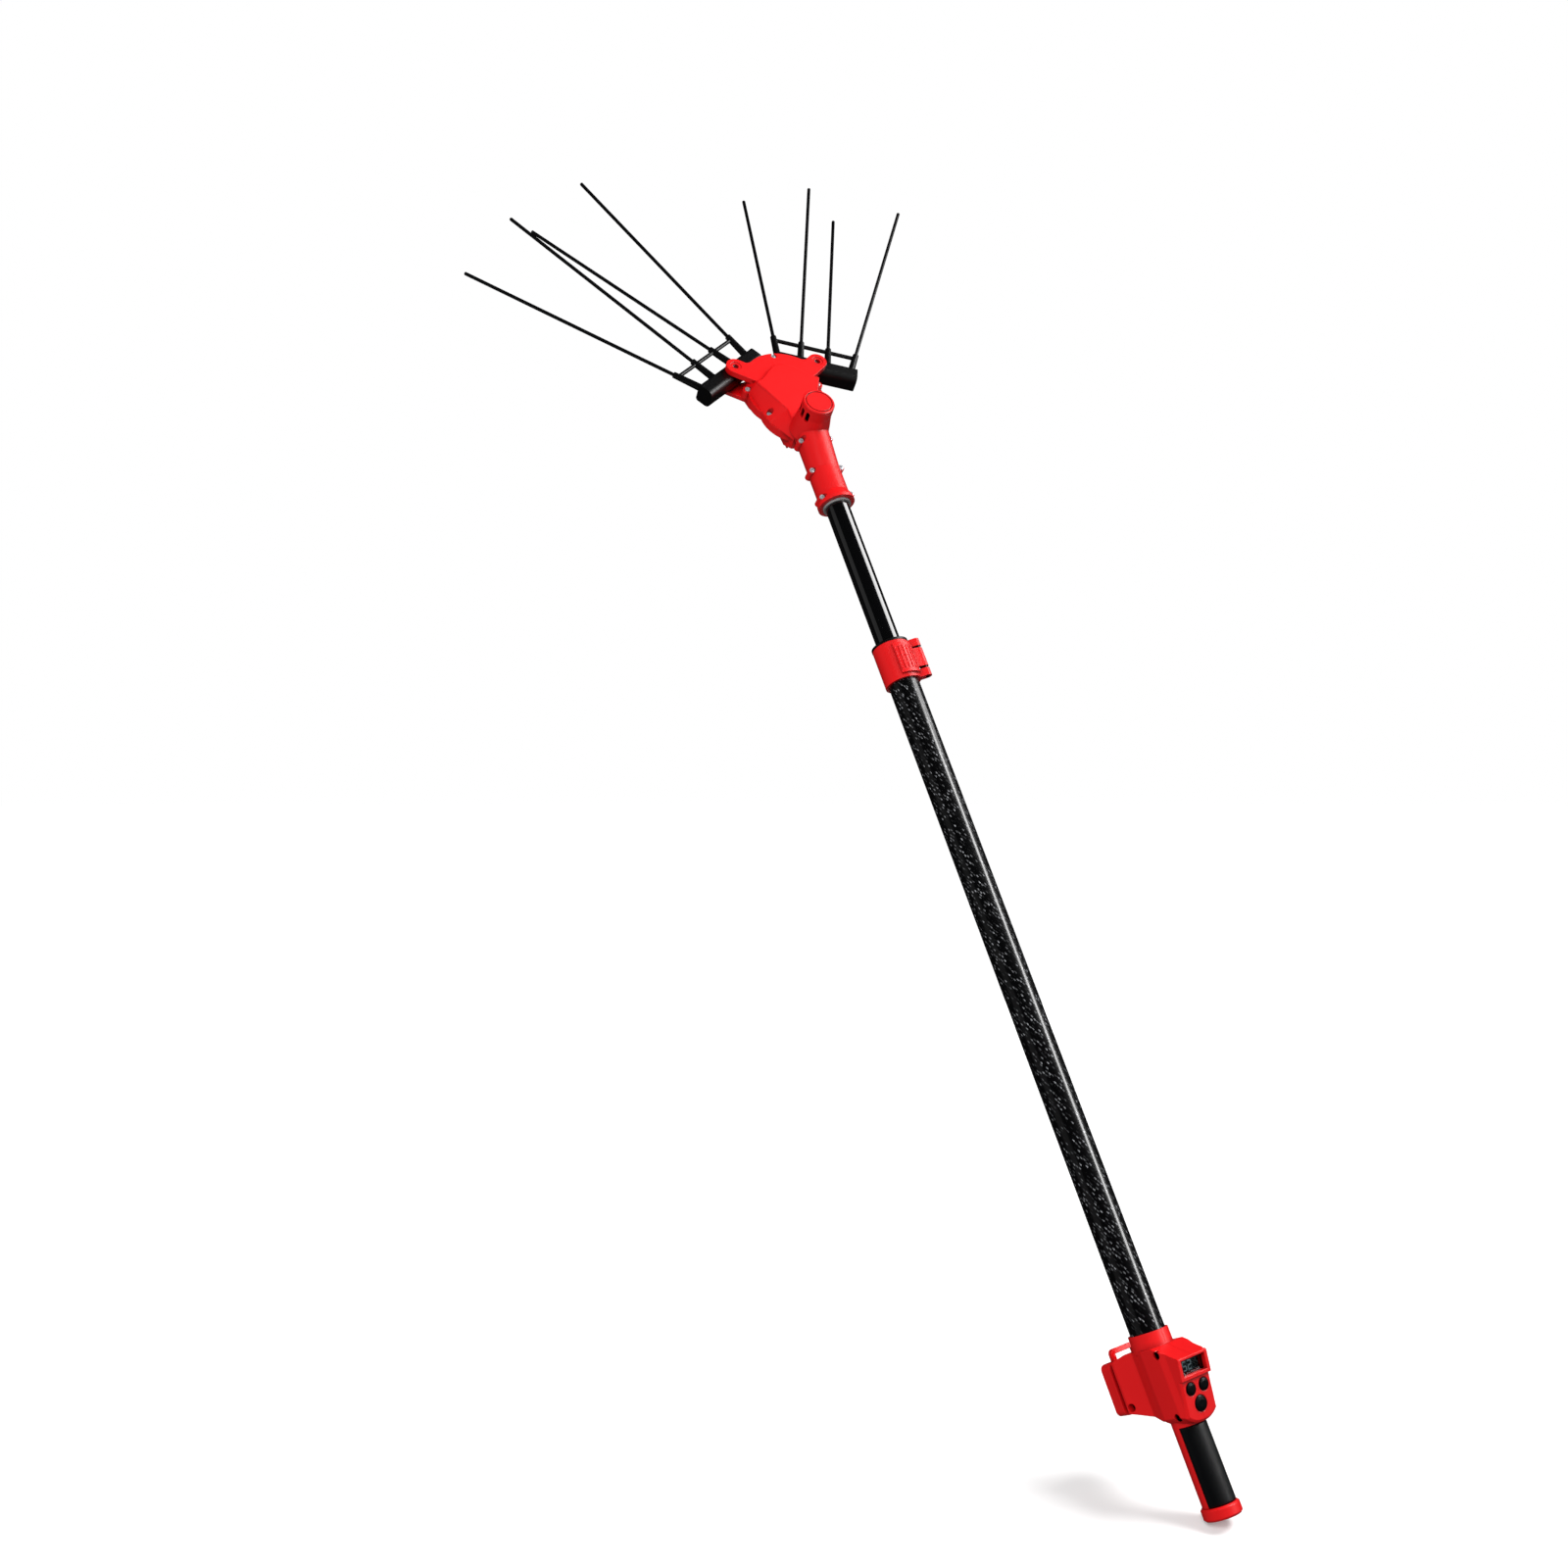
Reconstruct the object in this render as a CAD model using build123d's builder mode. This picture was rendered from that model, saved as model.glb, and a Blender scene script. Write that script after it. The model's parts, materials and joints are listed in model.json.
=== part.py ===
"""Cordless telescopic comb harvester.

X runs along the pole from the grip to the head, Y to the left and Z up, away from the battery dock.
The origin is where the pole's axis meets the end face of the grip.
"""

import os
from math import atan2, cos, degrees, pi, radians, sin, tan

from build123d import *

os.makedirs("parts", exist_ok=True)

# Fits and walls
RUN = 0.05  # radial clearance of a running fit
GAP = 0.3  # clearance beside moving flat faces
WALL = 3.0  # moulded wall

# Pole
TUBE_R = 19.0
TUBE_WALL = 2.2
TUBE_START = 112.0
TUBE_END = 1008.0
INNER_WALL = 1.8
INNER_START = 330.0
INNER_END = 1290.0
BUSH_LENGTH = 25.0
BUSH_T = 1.3
INNER_R = TUBE_R - TUBE_WALL - BUSH_T

# Grip
CAP_T = 12.0
CAP_R = 20.3
CAP_CHAMFER = 1.8
GRIP_R = 17.5
GRIP_Z = 10.0
GRIP_BORE = 10.5
GRIP_LAP = 8.0  # the grip and its bore run this far into the box
PAD_END = 89.0
PAD_T = 2.6
PAD_PROUD = 0.4  # the pad stands this far out of the grip
PAD_EDGE = 10.0  # angle above the horizontal at which the soft pad starts

# Control box
BOX_START = 90.0
BOX_END = 168.0
BOX_HALF = 23.0
BOX_WAIST = 18.5
BOX_NOSE_R = 27.0
VALLEY_TOP = 4.0  # the sides turn in below this height
VALLEY_Z = -15.0
VALLEY_R = 5.0
CHIN_X = 8.0  # corner under the box's start, where its underside leaves the grip
CHIN_DROP = 8.0
CHIN_BACK_DROP = 4.0
BELLY_DROP = 2.0  # corner under the pole's socket
SOCKET_WALL = 2.8
SOCKET_R = TUBE_R + SOCKET_WALL
SOCKET_END = 183.0
FACE_X = 121.5
FACE_Z = 43.1
FACE_TILT = 13.5
FACE_END = 154.0
FACE_HALF = 20.5
FACE_EDGE = 2.0
WINDOW_W = 33.0
WINDOW_H = 16.0
WINDOW_Y = 22.4
WINDOW_LAP = 0.8  # overlap of the window plate behind its opening
WINDOW_T = 1.5
HOOD_START = 132.0
HOOD_RISE = 2.5
DISPLAY_T = 4.0
BOARD_W = 33.0
BOARD_L = 45.5
BOARD_Y = 3.2
BOARD_T = 1.6
BOARD_DEPTH = 9.0  # from the face down to the top of the board
BUTTON_R = 6.5
BUTTON_X = 9.0
BUTTON_Y = 1.0
POWER_R = 8.0
POWER_Y = -15.4
BUTTON_RISE = 1.6
BUTTON_TRAVEL = 1.0
BUTTON_LIP = 1.2
SHELL_SCREW_R = 2.0
SHELL_SCREW_HEAD_R = 3.8
SHELL_SCREW_HEAD_T = 2.6
SHELL_SCREW_SINK = 1.0  # from the box's side down to the heads
FRONT_SCREW = (7.0, 4.0)  # back from the box's end, and up
REAR_SCREW = (10.0, 1.0)  # on from the box's start, and up
DOCK_SCREW = (7.0, 6.0)  # on from the dock's start, and up from its seat

# Battery dock
DOCK_START = 110.0
DOCK_END = 163.0
DOCK_HALF = 29.0
DOCK_SEAT = 42.0
DOCK_TOE_X = 2.0  # slanted corner of the box at the dock's lower end
DOCK_TOE_RISE = 8.0
DOCK_LEDGE = 1.0  # the dock's plate stands this far out of the box
DOCK_GROOVE = 4.0
DOCK_NECK_HALF = 24.0
DOCK_PLATE_T = 17.0
DOCK_CHANNEL_HALF = 17.0
DOCK_CHANNEL_T = 7.0
DOCK_STOP = 8.0
LOOP_HALF = 15.0
LOOP_RISE = 12.0
LOOP_R = 2.6
DOCK_CORNER_R = 6.0
DOCK_EDGE = 2.5
TERMINAL_SPACING = 9.0
TERMINAL_T = 1.0
TERMINALS = 3

# Clamp on the pole
CLAMP_START = 958.0
CLAMP_OVER = 1.0  # the collar reaches this far past the outer tube
CLAMP_END = TUBE_END + CLAMP_OVER
CLAMP_WALL = 3.8
CLAMP_R = TUBE_R + CLAMP_WALL
CLAMP_TURN = 33.0  # lever side, measured up from the right
SLIT_TURN = 35.0  # of the collar's slit from the lugs
LUG_T = 10.0
LUG_OUT = 8.2
LUG_REACH = CLAMP_R + LUG_OUT
LUG_R = 5.5
LEVER_T = 2.6
LEVER_END = 88.0
LEVER_START = 24.0
LEVER_INSET = 5.0
LEVER_PIN_R = 2.5
LEVER_PIN_PROUD = 1.0
WASHER_INSET = 1.0
LEVER_RIBS = 6
RIB_R = 0.9
RIB_MARGIN = 4.0  # angle between the plate's ends and the outer ribs
LIP_T = 3.0
LIP_PROUD = 0.4

# Neck and head
NECK_START = 1219.0
NECK_WALL = 5.5
NECK_R = INNER_R + NECK_WALL
NECK_FLARE = 3.5
NECK_FLARE_L = 14.0
NECK_RING_T = 3.0
NECK_RING_WALL = 3.0
NECK_RING_R = INNER_R + NECK_RING_WALL
NECK_END_ROOM = 1.0  # in the neck ahead of the inner tube
HEAD_X = 1310.0
HEAD_ROLL = -9.0
HEAD_PITCH = 8.0  # nose of the head leans down from the pole
NECK_JOIN = 20.0  # the neck ends this far into the head
SHOULDER_L = 42.0
SHOULDER_RISE = 13.0
SPLIT_Z = -12.0
FLANGE_T = 6.0
PANEL_Z = 14.0
EAR_X = 148.0
EAR_Y = 60.0
EAR_R = 13.0
EAR_RING_R = 7.5
EAR_RING_T = 0.8
PIN_SINK = 3.5
EAR_TOP = 6.5
EAR_T = 8.0
LOW_EAR_T = 6.0
LOBE_X = 108.0
LOBE_R = 58.5
ROOT_X = 127.5
ROOT_Y = 32.5
WAIST_R = 10.0
MOUTH_X = 128.0
POST_X = 162.0
POST_R = 4.0
RIDGE_X = 57.0  # corners of the raised panel
RIDGE_FRONT = 110.0
RIDGE_FRONT_Y = 46.0
PANEL_NECK_Y = 37.0
PANEL_NOSE_X = 135.0
PANEL_NOSE_Y = 15.0
PANEL_TIP_X = 139.5
PANEL_TIP_Y = 6.0
PANEL_EDGE = 1.2
SILL_Y = 42.0  # foot of the sloping wall beside the gears
SILL_FRONT_Y = 51.5
MOUTH_HALF = 49.0
FLANGE_BACK = 31.0
FLANGE_NOTCH = (72.5, 45.0)  # between the two lobes of the joint
FLANGE_FRONT = (109.5, 52.0)
REAR_LOBE = (46.5, 37.5)
FRONT_LOBE = (92.0, 53.5)
SCREW_R = 1.9
SCREW_HEAD_R = 3.6
SCREW_HEAD_T = 2.4
BOSS_R = 6.5
NECK_BOSS_R = 4.6
NECK_BOSS_TOP = 8.5
NECK_BOSS_BOTTOM = -7.5
NECK_SCREW_STEPS = (5.0, -41.0, -82.0)  # along the neck from the head's origin
NECK_SCREW_INSET = 0.5
HEAD_SCREW_PLACES = ((68.0, 38.0), (116.0, 51.5))  # ahead of the head's origin, and to a side

# Motor and gears
MOTOR_X = 25.0
MOTOR_R = 17.5
MOTOR_BASE = 8.2
MOTOR_L = 40.0
MOTOR_EDGE = 1.2
TOWER_R = 21.0
TOWER_FOOT_R = 26.0
TOWER_FOOT = 4.0
TOWER_FLARE_R = 23.5
TOWER_FLARE = 23.0
TOWER_WAIST = 38.0
TOWER_TOP = 51.5
CAP_DISC_R = 16.5
CAP_GROOVE = 1.4
CAP_EDGE = 1.3
MOTOR_CAP_T = 4.2
VENT_ANGLES = (72, 98, 124)
VENT_Z = 41.0
VENT_L = 14.5
VENT_W = 5.5
SHAFT_R = 2.0
MODULE = 1.0
PINION_TEETH = 14
GEAR_TEETH = 34
DEDENDUM = 1.25  # these five in modules
ADDENDUM = 0.8
TOOTH_HALF = 0.36
ROOT_SPREAD = 1.75
TIP_SPREAD = 0.72
HUB_R = 6.0
HOLE_R = 2.8
GEAR_HOLES = 6
CASE_HALF = MODULE * (GEAR_TEETH / 2 + 1) + WALL  # side of the case beside the crank gear
GEAR_T = 6.0
GEAR_BOTTOM = -1.5
CRANK_R = 2.5
ECCENTRIC_R = 5.6
BEARING_R = 5.5
BEARING_T = 3.0
ROLLER_R = 8.2
ROLLER_T = 6.0
YOKE_T = 6.0
YOKE_STEP = 4.0  # each yoke lies this far from the comb's middle plane
YOKE_BAR = 4.0
YOKE_PLAY = 0.8  # open play between an eccentric bearing and its yoke
EYE_TRAVEL = 1.4  # sideways way of a tail pin in its yoke's eye
EYE_PLAY = 0.1
TRAY_ROOM = 1.0  # under the lower yoke
TRAY_INSET = 1.0  # of the bottom cover's case behind the top cover's
GUIDE_L = 20.0
GUIDE_T = 2.0

# Combs
COMB_Z = -15.0
COMB_OPEN = 28.0  # angle of each comb's middle position from the pole
COMB_SWING = 10.0  # whole stroke
BEAM_H = 26.0
BEAM_BACK = 9.0
BEAM_FRONT = 14.0
BEAM_IN = 55.0
BEAM_OUT = 59.0
BEAM_BACK_FLAT = 1.0
BEAM_FRONT_R = 4.0
TAIL_BACK = 14.0
TAIL_IN = 30.0
TAIL_EYE_R = 6.0
TAIL_PIN_R = 3.0
PIVOT_R = 4.0
PIVOT_BUSH_R = 6.0
BAR_X = 47.6
BAR_R = 2.7
TINES = 4  # in each comb
TINE_SPACING = 38.6
TINE_R = 2.4
TINE_L = 329.0  # beyond the cross bar
SOCKET_TIP = 54.0
SOCKET_TIP_R = 4.2
SOCKET_ROOT_R = 5.0
TINE_ROOT = 12.0
FAN_OUTER = 10.0
FAN_INNER = 1.0
LEAN = 3.8


def save(piece, name):
    """Label a finished piece and write it."""
    piece.part.label = name
    export_step(piece.part, f"parts/{name}.step")


def pole_plane(x):
    """Plane square to the pole, local x to the left and local y up."""
    return Plane(origin=(x, 0, 0), x_dir=(0, 1, 0), z_dir=(1, 0, 0))


def face_z(x):
    """Height of the sloping control face above the pole's axis."""
    return FACE_Z + (x - FACE_X) * tan(radians(FACE_TILT))


# Frames of the control face, the clamp, the neck and the head
TILT = radians(FACE_TILT)
FACE = Plane(origin=(FACE_X, 0, FACE_Z), x_dir=(0, -1, 0), z_dir=(-sin(TILT), 0, cos(TILT)))
ROLL = radians(HEAD_ROLL)
PITCH = radians(HEAD_PITCH)
NECK_UP = Vector(0, -sin(ROLL), cos(ROLL))
NECK = Plane(origin=(0, 0, 0), x_dir=(1, 0, 0), z_dir=NECK_UP)
HEAD_FRONT = Vector(1, 0, 0) * cos(PITCH) - NECK_UP * sin(PITCH)
HEAD_UP = Vector(1, 0, 0) * sin(PITCH) + NECK_UP * cos(PITCH)
HEAD = Plane(origin=(HEAD_X, 0, 0), x_dir=HEAD_FRONT, z_dir=HEAD_UP)
HEAD_BACK = Plane(origin=HEAD.from_local_coords((NECK_JOIN, 0, 0)), x_dir=HEAD.y_dir, z_dir=HEAD_FRONT)


def clamp_plane(x):
    """Plane square to the pole, local x out to the clamp's lever pin."""
    turn = radians(CLAMP_TURN)
    return Plane(origin=(x, 0, 0), x_dir=(0, -cos(turn), sin(turn)), z_dir=(1, 0, 0))


def ring(name, x, length, outer, inner):
    """A tube or ring on the pole's axis."""
    with BuildPart() as tube:
        with BuildSketch(pole_plane(x)):
            Circle(outer)
            Circle(inner, mode=Mode.SUBTRACT)
        extrude(amount=length)
    save(tube, name)


# Telescopic tubes and their bush
ring("outer_tube", TUBE_START, TUBE_END - TUBE_START, TUBE_R, TUBE_R - TUBE_WALL)
ring("inner_tube", INNER_START, INNER_END - INNER_START, INNER_R, INNER_R - INNER_WALL)
ring("guide_bush", INNER_START, BUSH_LENGTH, TUBE_R - TUBE_WALL - RUN, INNER_R + RUN)
ring("neck_ring", NECK_START - NECK_RING_T, NECK_RING_T, NECK_RING_R, INNER_R + RUN)


def pad_profile(outer, inner):
    """Upper arc of the grip that carries the soft pad."""
    edge = radians(PAD_EDGE)
    far = 2 * GRIP_R
    with BuildSketch(pole_plane(CAP_T)) as profile:
        with Locations((0, GRIP_Z)):
            Circle(outer)
            Circle(inner, mode=Mode.SUBTRACT)
        with BuildLine():
            Polyline(
                (0, GRIP_Z),
                (far * cos(edge), GRIP_Z + far * sin(edge)),
                (far, GRIP_Z + far),
                (-far, GRIP_Z + far),
                (-far * cos(edge), GRIP_Z + far * sin(edge)),
                close=True,
            )
        make_face(mode=Mode.INTERSECT)
    return profile.sketch


# Soft pad along the upper side of the grip
with BuildPart() as grip_pad:
    extrude(pad_profile(GRIP_R + PAD_PROUD, GRIP_R - PAD_T + RUN), amount=PAD_END - CAP_T)
save(grip_pad, "grip_pad")

# End cap: a flanged plug in the grip's bore
with BuildPart() as end_cap:
    with BuildSketch(pole_plane(0)):
        with Locations((0, GRIP_Z)):
            Circle(CAP_R)
    extrude(amount=CAP_T)
    chamfer(end_cap.edges().filter_by(GeomType.CIRCLE), length=CAP_CHAMFER)
    with BuildSketch(pole_plane(CAP_T)):
        with Locations((0, GRIP_Z)):
            Circle(GRIP_BORE - RUN)
    extrude(amount=CAP_T)
save(end_cap, "end_cap")

# Places of the screws that join the two handle shells, in X and Z
SHELL_SCREWS = [
    (BOX_END - FRONT_SCREW[0], BOX_HALF + FRONT_SCREW[1]),
    (BOX_START + REAR_SCREW[0], BOX_HALF + REAR_SCREW[1]),
    (DOCK_START + DOCK_SCREW[0], DOCK_SCREW[1] - DOCK_SEAT),
]
SHELL_SCREW_TOP = BOX_HALF - SHELL_SCREW_SINK

# Handle housing, later split into two shells
with BuildPart() as housing:
    with BuildSketch(Plane.XZ):
        with BuildLine():
            Polyline(
                (BOX_START, face_z(BOX_START)),
                (FACE_END, face_z(FACE_END)),
                (BOX_END, SOCKET_R),
                (BOX_END, -SOCKET_R - BELLY_DROP),
                (DOCK_END, -DOCK_SEAT),
                (DOCK_START + DOCK_TOE_X, -DOCK_SEAT),
                (DOCK_START, DOCK_TOE_RISE - DOCK_SEAT),
                (BOX_START + CHIN_X, GRIP_Z - CHIN_DROP),
                (BOX_START, GRIP_Z - CHIN_BACK_DROP),
                close=True,
            )
        make_face()
    extrude(amount=DOCK_HALF, both=True)
    with BuildSketch(pole_plane(0)) as section:
        with BuildLine():
            Polyline(
                (0, 2 * FACE_Z),
                (FACE_HALF, 2 * FACE_Z),
                (FACE_HALF, FACE_Z - 2 * WALL),
                (BOX_HALF, BOX_HALF + 2 * WALL),
                (BOX_HALF, VALLEY_TOP),
                (BOX_WAIST, VALLEY_Z),
                (DOCK_HALF - DOCK_LEDGE, WALL - DOCK_SEAT),
                (DOCK_HALF - DOCK_LEDGE, -2 * DOCK_SEAT),
                (0, -2 * DOCK_SEAT),
            )
            mirror(about=Plane.YZ)
        make_face()
        for corner_z in (VALLEY_TOP, VALLEY_Z):
            corners = section.vertices().filter_by_position(Axis.Z, corner_z - GAP, corner_z + GAP)
            fillet(corners, radius=VALLEY_R)
    extrude(amount=SOCKET_END, mode=Mode.INTERSECT)
    with BuildSketch(Plane.XY) as plan:
        with Locations(((BOX_START + BOX_END) / 2, 0)):
            Rectangle(BOX_END - BOX_START, 2 * DOCK_HALF)
        fillet(plan.vertices().group_by(Axis.X)[0], radius=BOX_NOSE_R)
    extrude(amount=2 * FACE_Z, both=True, mode=Mode.INTERSECT)
    control_face = housing.faces().sort_by_distance(FACE.origin)[0]
    chamfer(control_face.edges().filter_by(GeomType.ELLIPSE), length=FACE_EDGE)
    with BuildSketch(Plane(origin=FACE.origin, x_dir=FACE.x_dir, z_dir=FACE.y_dir)):
        with BuildLine():
            Polyline(
                (FACE_HALF - FACE_EDGE - WALL, -WALL),
                (FACE_HALF + WALL, FACE_EDGE + WALL),
                (FACE_HALF + WALL, -WALL),
                close=True,
            )
        make_face()
        mirror(about=Plane.YZ)
    extrude(amount=BOX_END, both=True, mode=Mode.SUBTRACT)
    # Hood across the face, round the display
    hood_lean = HOOD_RISE * (BOX_END - FACE_END) / (face_z(FACE_END) - SOCKET_R)
    with BuildSketch(Plane.XZ):
        with BuildLine():
            Polyline(
                (HOOD_START, face_z(HOOD_START) - WALL),
                (HOOD_START - HOOD_RISE * sin(TILT), face_z(HOOD_START) + HOOD_RISE * cos(TILT)),
                (FACE_END - hood_lean, face_z(FACE_END - hood_lean) + HOOD_RISE / cos(TILT)),
                (FACE_END, face_z(FACE_END)),
                (FACE_END, face_z(FACE_END) - WALL),
                close=True,
            )
        make_face()
    extrude(amount=FACE_HALF, both=True)
    with BuildSketch(pole_plane(BOX_END - WALL)):
        Circle(SOCKET_R)
    extrude(amount=SOCKET_END - BOX_END + WALL)
    with BuildSketch(pole_plane(CAP_T)):
        with Locations((0, GRIP_Z)):
            Circle(GRIP_R)
    extrude(amount=BOX_START - CAP_T + GRIP_LAP)
    # Seat of the soft pad, bore of the grip and socket of the pole
    extrude(pad_profile(GRIP_R + 2 * PAD_PROUD, GRIP_R - PAD_T), amount=PAD_END - CAP_T, mode=Mode.SUBTRACT)
    with BuildSketch(pole_plane(CAP_T)):
        with Locations((0, GRIP_Z)):
            Circle(GRIP_BORE)
    extrude(amount=BOX_START - CAP_T + GRIP_LAP, mode=Mode.SUBTRACT)
    with BuildSketch(pole_plane(TUBE_START)):
        Circle(TUBE_R + RUN)
    extrude(amount=SOCKET_END - TUBE_START, mode=Mode.SUBTRACT)
    # Room for the board under the face and for the leads above the dock
    with BuildSketch(Plane.XZ):
        with BuildLine():
            Polyline(
                (BOX_START + 2 * WALL, TUBE_R + WALL),
                (BOX_START + 2 * WALL, face_z(BOX_START + 2 * WALL) - WALL),
                (FACE_END - WALL / 2, face_z(FACE_END - WALL / 2) - WALL),
                (BOX_END - 2 * WALL, TUBE_R + WALL),
                close=True,
            )
        make_face()
    extrude(amount=FACE_HALF - WALL, both=True, mode=Mode.SUBTRACT)
    with BuildSketch(Plane.XY.offset(-DOCK_SEAT)):
        with Locations(((DOCK_START + DOCK_END) / 2, 0)):
            Rectangle(DOCK_END - DOCK_START - 4 * WALL, 2 * DOCK_CHANNEL_HALF)
    extrude(amount=DOCK_SEAT - TUBE_R - WALL, mode=Mode.SUBTRACT)
    # Bosses round the screws that join the shells
    with BuildSketch(Plane.XZ):
        with Locations(*SHELL_SCREWS):
            Circle(SHELL_SCREW_R + WALL / 2)
    extrude(amount=FACE_HALF - WALL, both=True)
    # Display opening and button holes
    with BuildSketch(FACE):
        with Locations((0, WINDOW_Y)):
            Rectangle(WINDOW_W, WINDOW_H)
        with Locations((-BUTTON_X, BUTTON_Y), (BUTTON_X, BUTTON_Y)):
            Circle(BUTTON_R + GAP)
        with Locations((0, POWER_Y)):
            Circle(POWER_R + GAP)
    extrude(amount=-2 * WALL, mode=Mode.SUBTRACT)
    with BuildSketch(FACE):
        with Locations((0, WINDOW_Y)):
            Rectangle(WINDOW_W, WINDOW_H)
    extrude(amount=HOOD_RISE, mode=Mode.SUBTRACT)
    # Screw holes through both shells, with sunk heads on the left
    with BuildSketch(Plane.XZ):
        with Locations(*SHELL_SCREWS):
            Circle(SHELL_SCREW_R + RUN)
    extrude(amount=SHELL_SCREW_TOP, both=True, mode=Mode.SUBTRACT)
    with BuildSketch(Plane.XZ.offset(SHELL_SCREW_HEAD_T - SHELL_SCREW_TOP)):
        with Locations(*SHELL_SCREWS):
            Circle(SHELL_SCREW_HEAD_R + GAP)
    extrude(amount=-DOCK_HALF, mode=Mode.SUBTRACT)

with BuildPart() as handle_shell_left:
    add(housing.part)
    split(bisect_by=Plane.XZ, keep=Keep.BOTTOM)
save(handle_shell_left, "handle_shell_left")

with BuildPart() as handle_shell_right:
    add(housing.part)
    split(bisect_by=Plane.XZ, keep=Keep.TOP)
save(handle_shell_right, "handle_shell_right")

with BuildPart() as handle_screws:
    with BuildSketch(Plane.XZ.offset(-SHELL_SCREW_TOP + SHELL_SCREW_HEAD_T)):
        with Locations(*SHELL_SCREWS):
            Circle(SHELL_SCREW_HEAD_R)
    extrude(amount=-SHELL_SCREW_HEAD_T)
    with BuildSketch(Plane.XZ.offset(-SHELL_SCREW_TOP + SHELL_SCREW_HEAD_T)):
        with Locations(*SHELL_SCREWS):
            Circle(SHELL_SCREW_R)
    extrude(amount=SHELL_SCREW_TOP + BOX_HALF / 2)
save(handle_screws, "handle_screws")

# Display window, display and control board under the face
with BuildPart() as display_window:
    with BuildSketch(FACE.offset(-WALL - RUN)):
        with Locations((0, WINDOW_Y)):
            Rectangle(WINDOW_W + 2 * WINDOW_LAP, WINDOW_H + 2 * WINDOW_LAP)
    extrude(amount=-WINDOW_T)
save(display_window, "display_window")

DISPLAY_TOP = WALL + WINDOW_T + 2 * RUN
with BuildPart() as display_module:
    with BuildSketch(FACE.offset(-DISPLAY_TOP)):
        with Locations((0, WINDOW_Y)):
            Rectangle(WINDOW_W, WINDOW_H)
    extrude(amount=-DISPLAY_T)
save(display_module, "display_module")

SWITCH_H = BOARD_DEPTH - 2 * WALL - BUTTON_TRAVEL - RUN
with BuildPart() as control_board:
    with BuildSketch(FACE.offset(-BOARD_DEPTH)):
        with Locations((0, BOARD_Y)):
            Rectangle(BOARD_W, BOARD_L)
    extrude(amount=-BOARD_T)
    with BuildSketch(FACE.offset(-BOARD_DEPTH)):
        with Locations((-BUTTON_X, BUTTON_Y), (BUTTON_X, BUTTON_Y), (0, POWER_Y)):
            Rectangle(BUTTON_R, BUTTON_R)
    extrude(amount=SWITCH_H)
save(control_board, "control_board")


def button(name, x, y, radius):
    """A domed push button with a lip that keeps it in its hole."""
    foot = FACE.from_local_coords((x, y, -2 * WALL))
    top = 2 * WALL + BUTTON_RISE
    with BuildPart() as cap:
        with BuildSketch(Plane(origin=foot, x_dir=FACE.x_dir, z_dir=-FACE.y_dir)):
            with BuildLine():
                Polyline(
                    (0, 0),
                    (radius + BUTTON_LIP, 0),
                    (radius + BUTTON_LIP, WALL - GAP),
                    (radius, WALL - GAP),
                    (radius, top - BUTTON_RISE),
                    (radius - BUTTON_RISE / 2, top - BUTTON_RISE / 3),
                    (radius / 2, top),
                    (0, top),
                    close=True,
                )
            make_face()
        revolve(axis=Axis(foot, FACE.z_dir))
    save(cap, name)


button("left_button", -BUTTON_X, BUTTON_Y, BUTTON_R)
button("right_button", BUTTON_X, BUTTON_Y, BUTTON_R)
button("power_button", 0, POWER_Y, POWER_R)

# Battery dock: a T-shaped rail with a strap loop at its upper end
PLATE_TOP = -DOCK_SEAT - DOCK_GROOVE
PLATE_BOTTOM = PLATE_TOP - DOCK_PLATE_T
CHANNEL_TOP = PLATE_BOTTOM + DOCK_CHANNEL_T
with BuildPart() as battery_dock:
    with BuildSketch(Plane.XY.offset(PLATE_BOTTOM)) as plate:
        with Locations(((DOCK_START + DOCK_END) / 2, 0)):
            Rectangle(DOCK_END - DOCK_START, 2 * DOCK_HALF)
        fillet(plate.vertices(), radius=DOCK_CORNER_R)
    extrude(amount=DOCK_PLATE_T)
    chamfer(battery_dock.faces().sort_by(Axis.Z)[0].edges(), length=DOCK_EDGE)
    with BuildSketch(Plane.XY.offset(PLATE_TOP)):
        with Locations(((DOCK_START + DOCK_END) / 2, 0)):
            Rectangle(DOCK_END - DOCK_START - 2 * DOCK_GROOVE, 2 * DOCK_NECK_HALF)
    extrude(amount=DOCK_GROOVE)
    with BuildSketch(pole_plane(DOCK_START)):
        with Locations((0, PLATE_BOTTOM + DOCK_CHANNEL_T / 2)):
            Rectangle(2 * DOCK_CHANNEL_HALF, DOCK_CHANNEL_T)
    extrude(amount=DOCK_END - DOCK_START - DOCK_STOP, mode=Mode.SUBTRACT)
    with BuildSketch(Plane.XY.offset(PLATE_TOP - 3 * LOOP_R)) as loop:
        with Locations((DOCK_END + (LOOP_RISE - LOOP_R) / 2, 0)):
            Rectangle(LOOP_RISE + LOOP_R, 2 * (LOOP_HALF + LOOP_R))
        fillet(loop.vertices().group_by(Axis.X)[-1], radius=2 * LOOP_R)
        with Locations((DOCK_END + LOOP_RISE / 2 - LOOP_R, 0)):
            Rectangle(LOOP_RISE - 2 * LOOP_R, 2 * (LOOP_HALF - LOOP_R), mode=Mode.SUBTRACT)
    extrude(amount=2 * LOOP_R)
save(battery_dock, "battery_dock")

with BuildPart() as dock_terminals:
    with BuildSketch(Plane.XY.offset(CHANNEL_TOP)):
        with Locations((DOCK_END - 2 * DOCK_STOP, 0)):
            with GridLocations(0, TERMINAL_SPACING, 1, TERMINALS):
                Rectangle(DOCK_STOP, TERMINAL_T)
    extrude(amount=RUN - DOCK_CHANNEL_T + WALL / 2)
save(dock_terminals, "dock_terminals")

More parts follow.
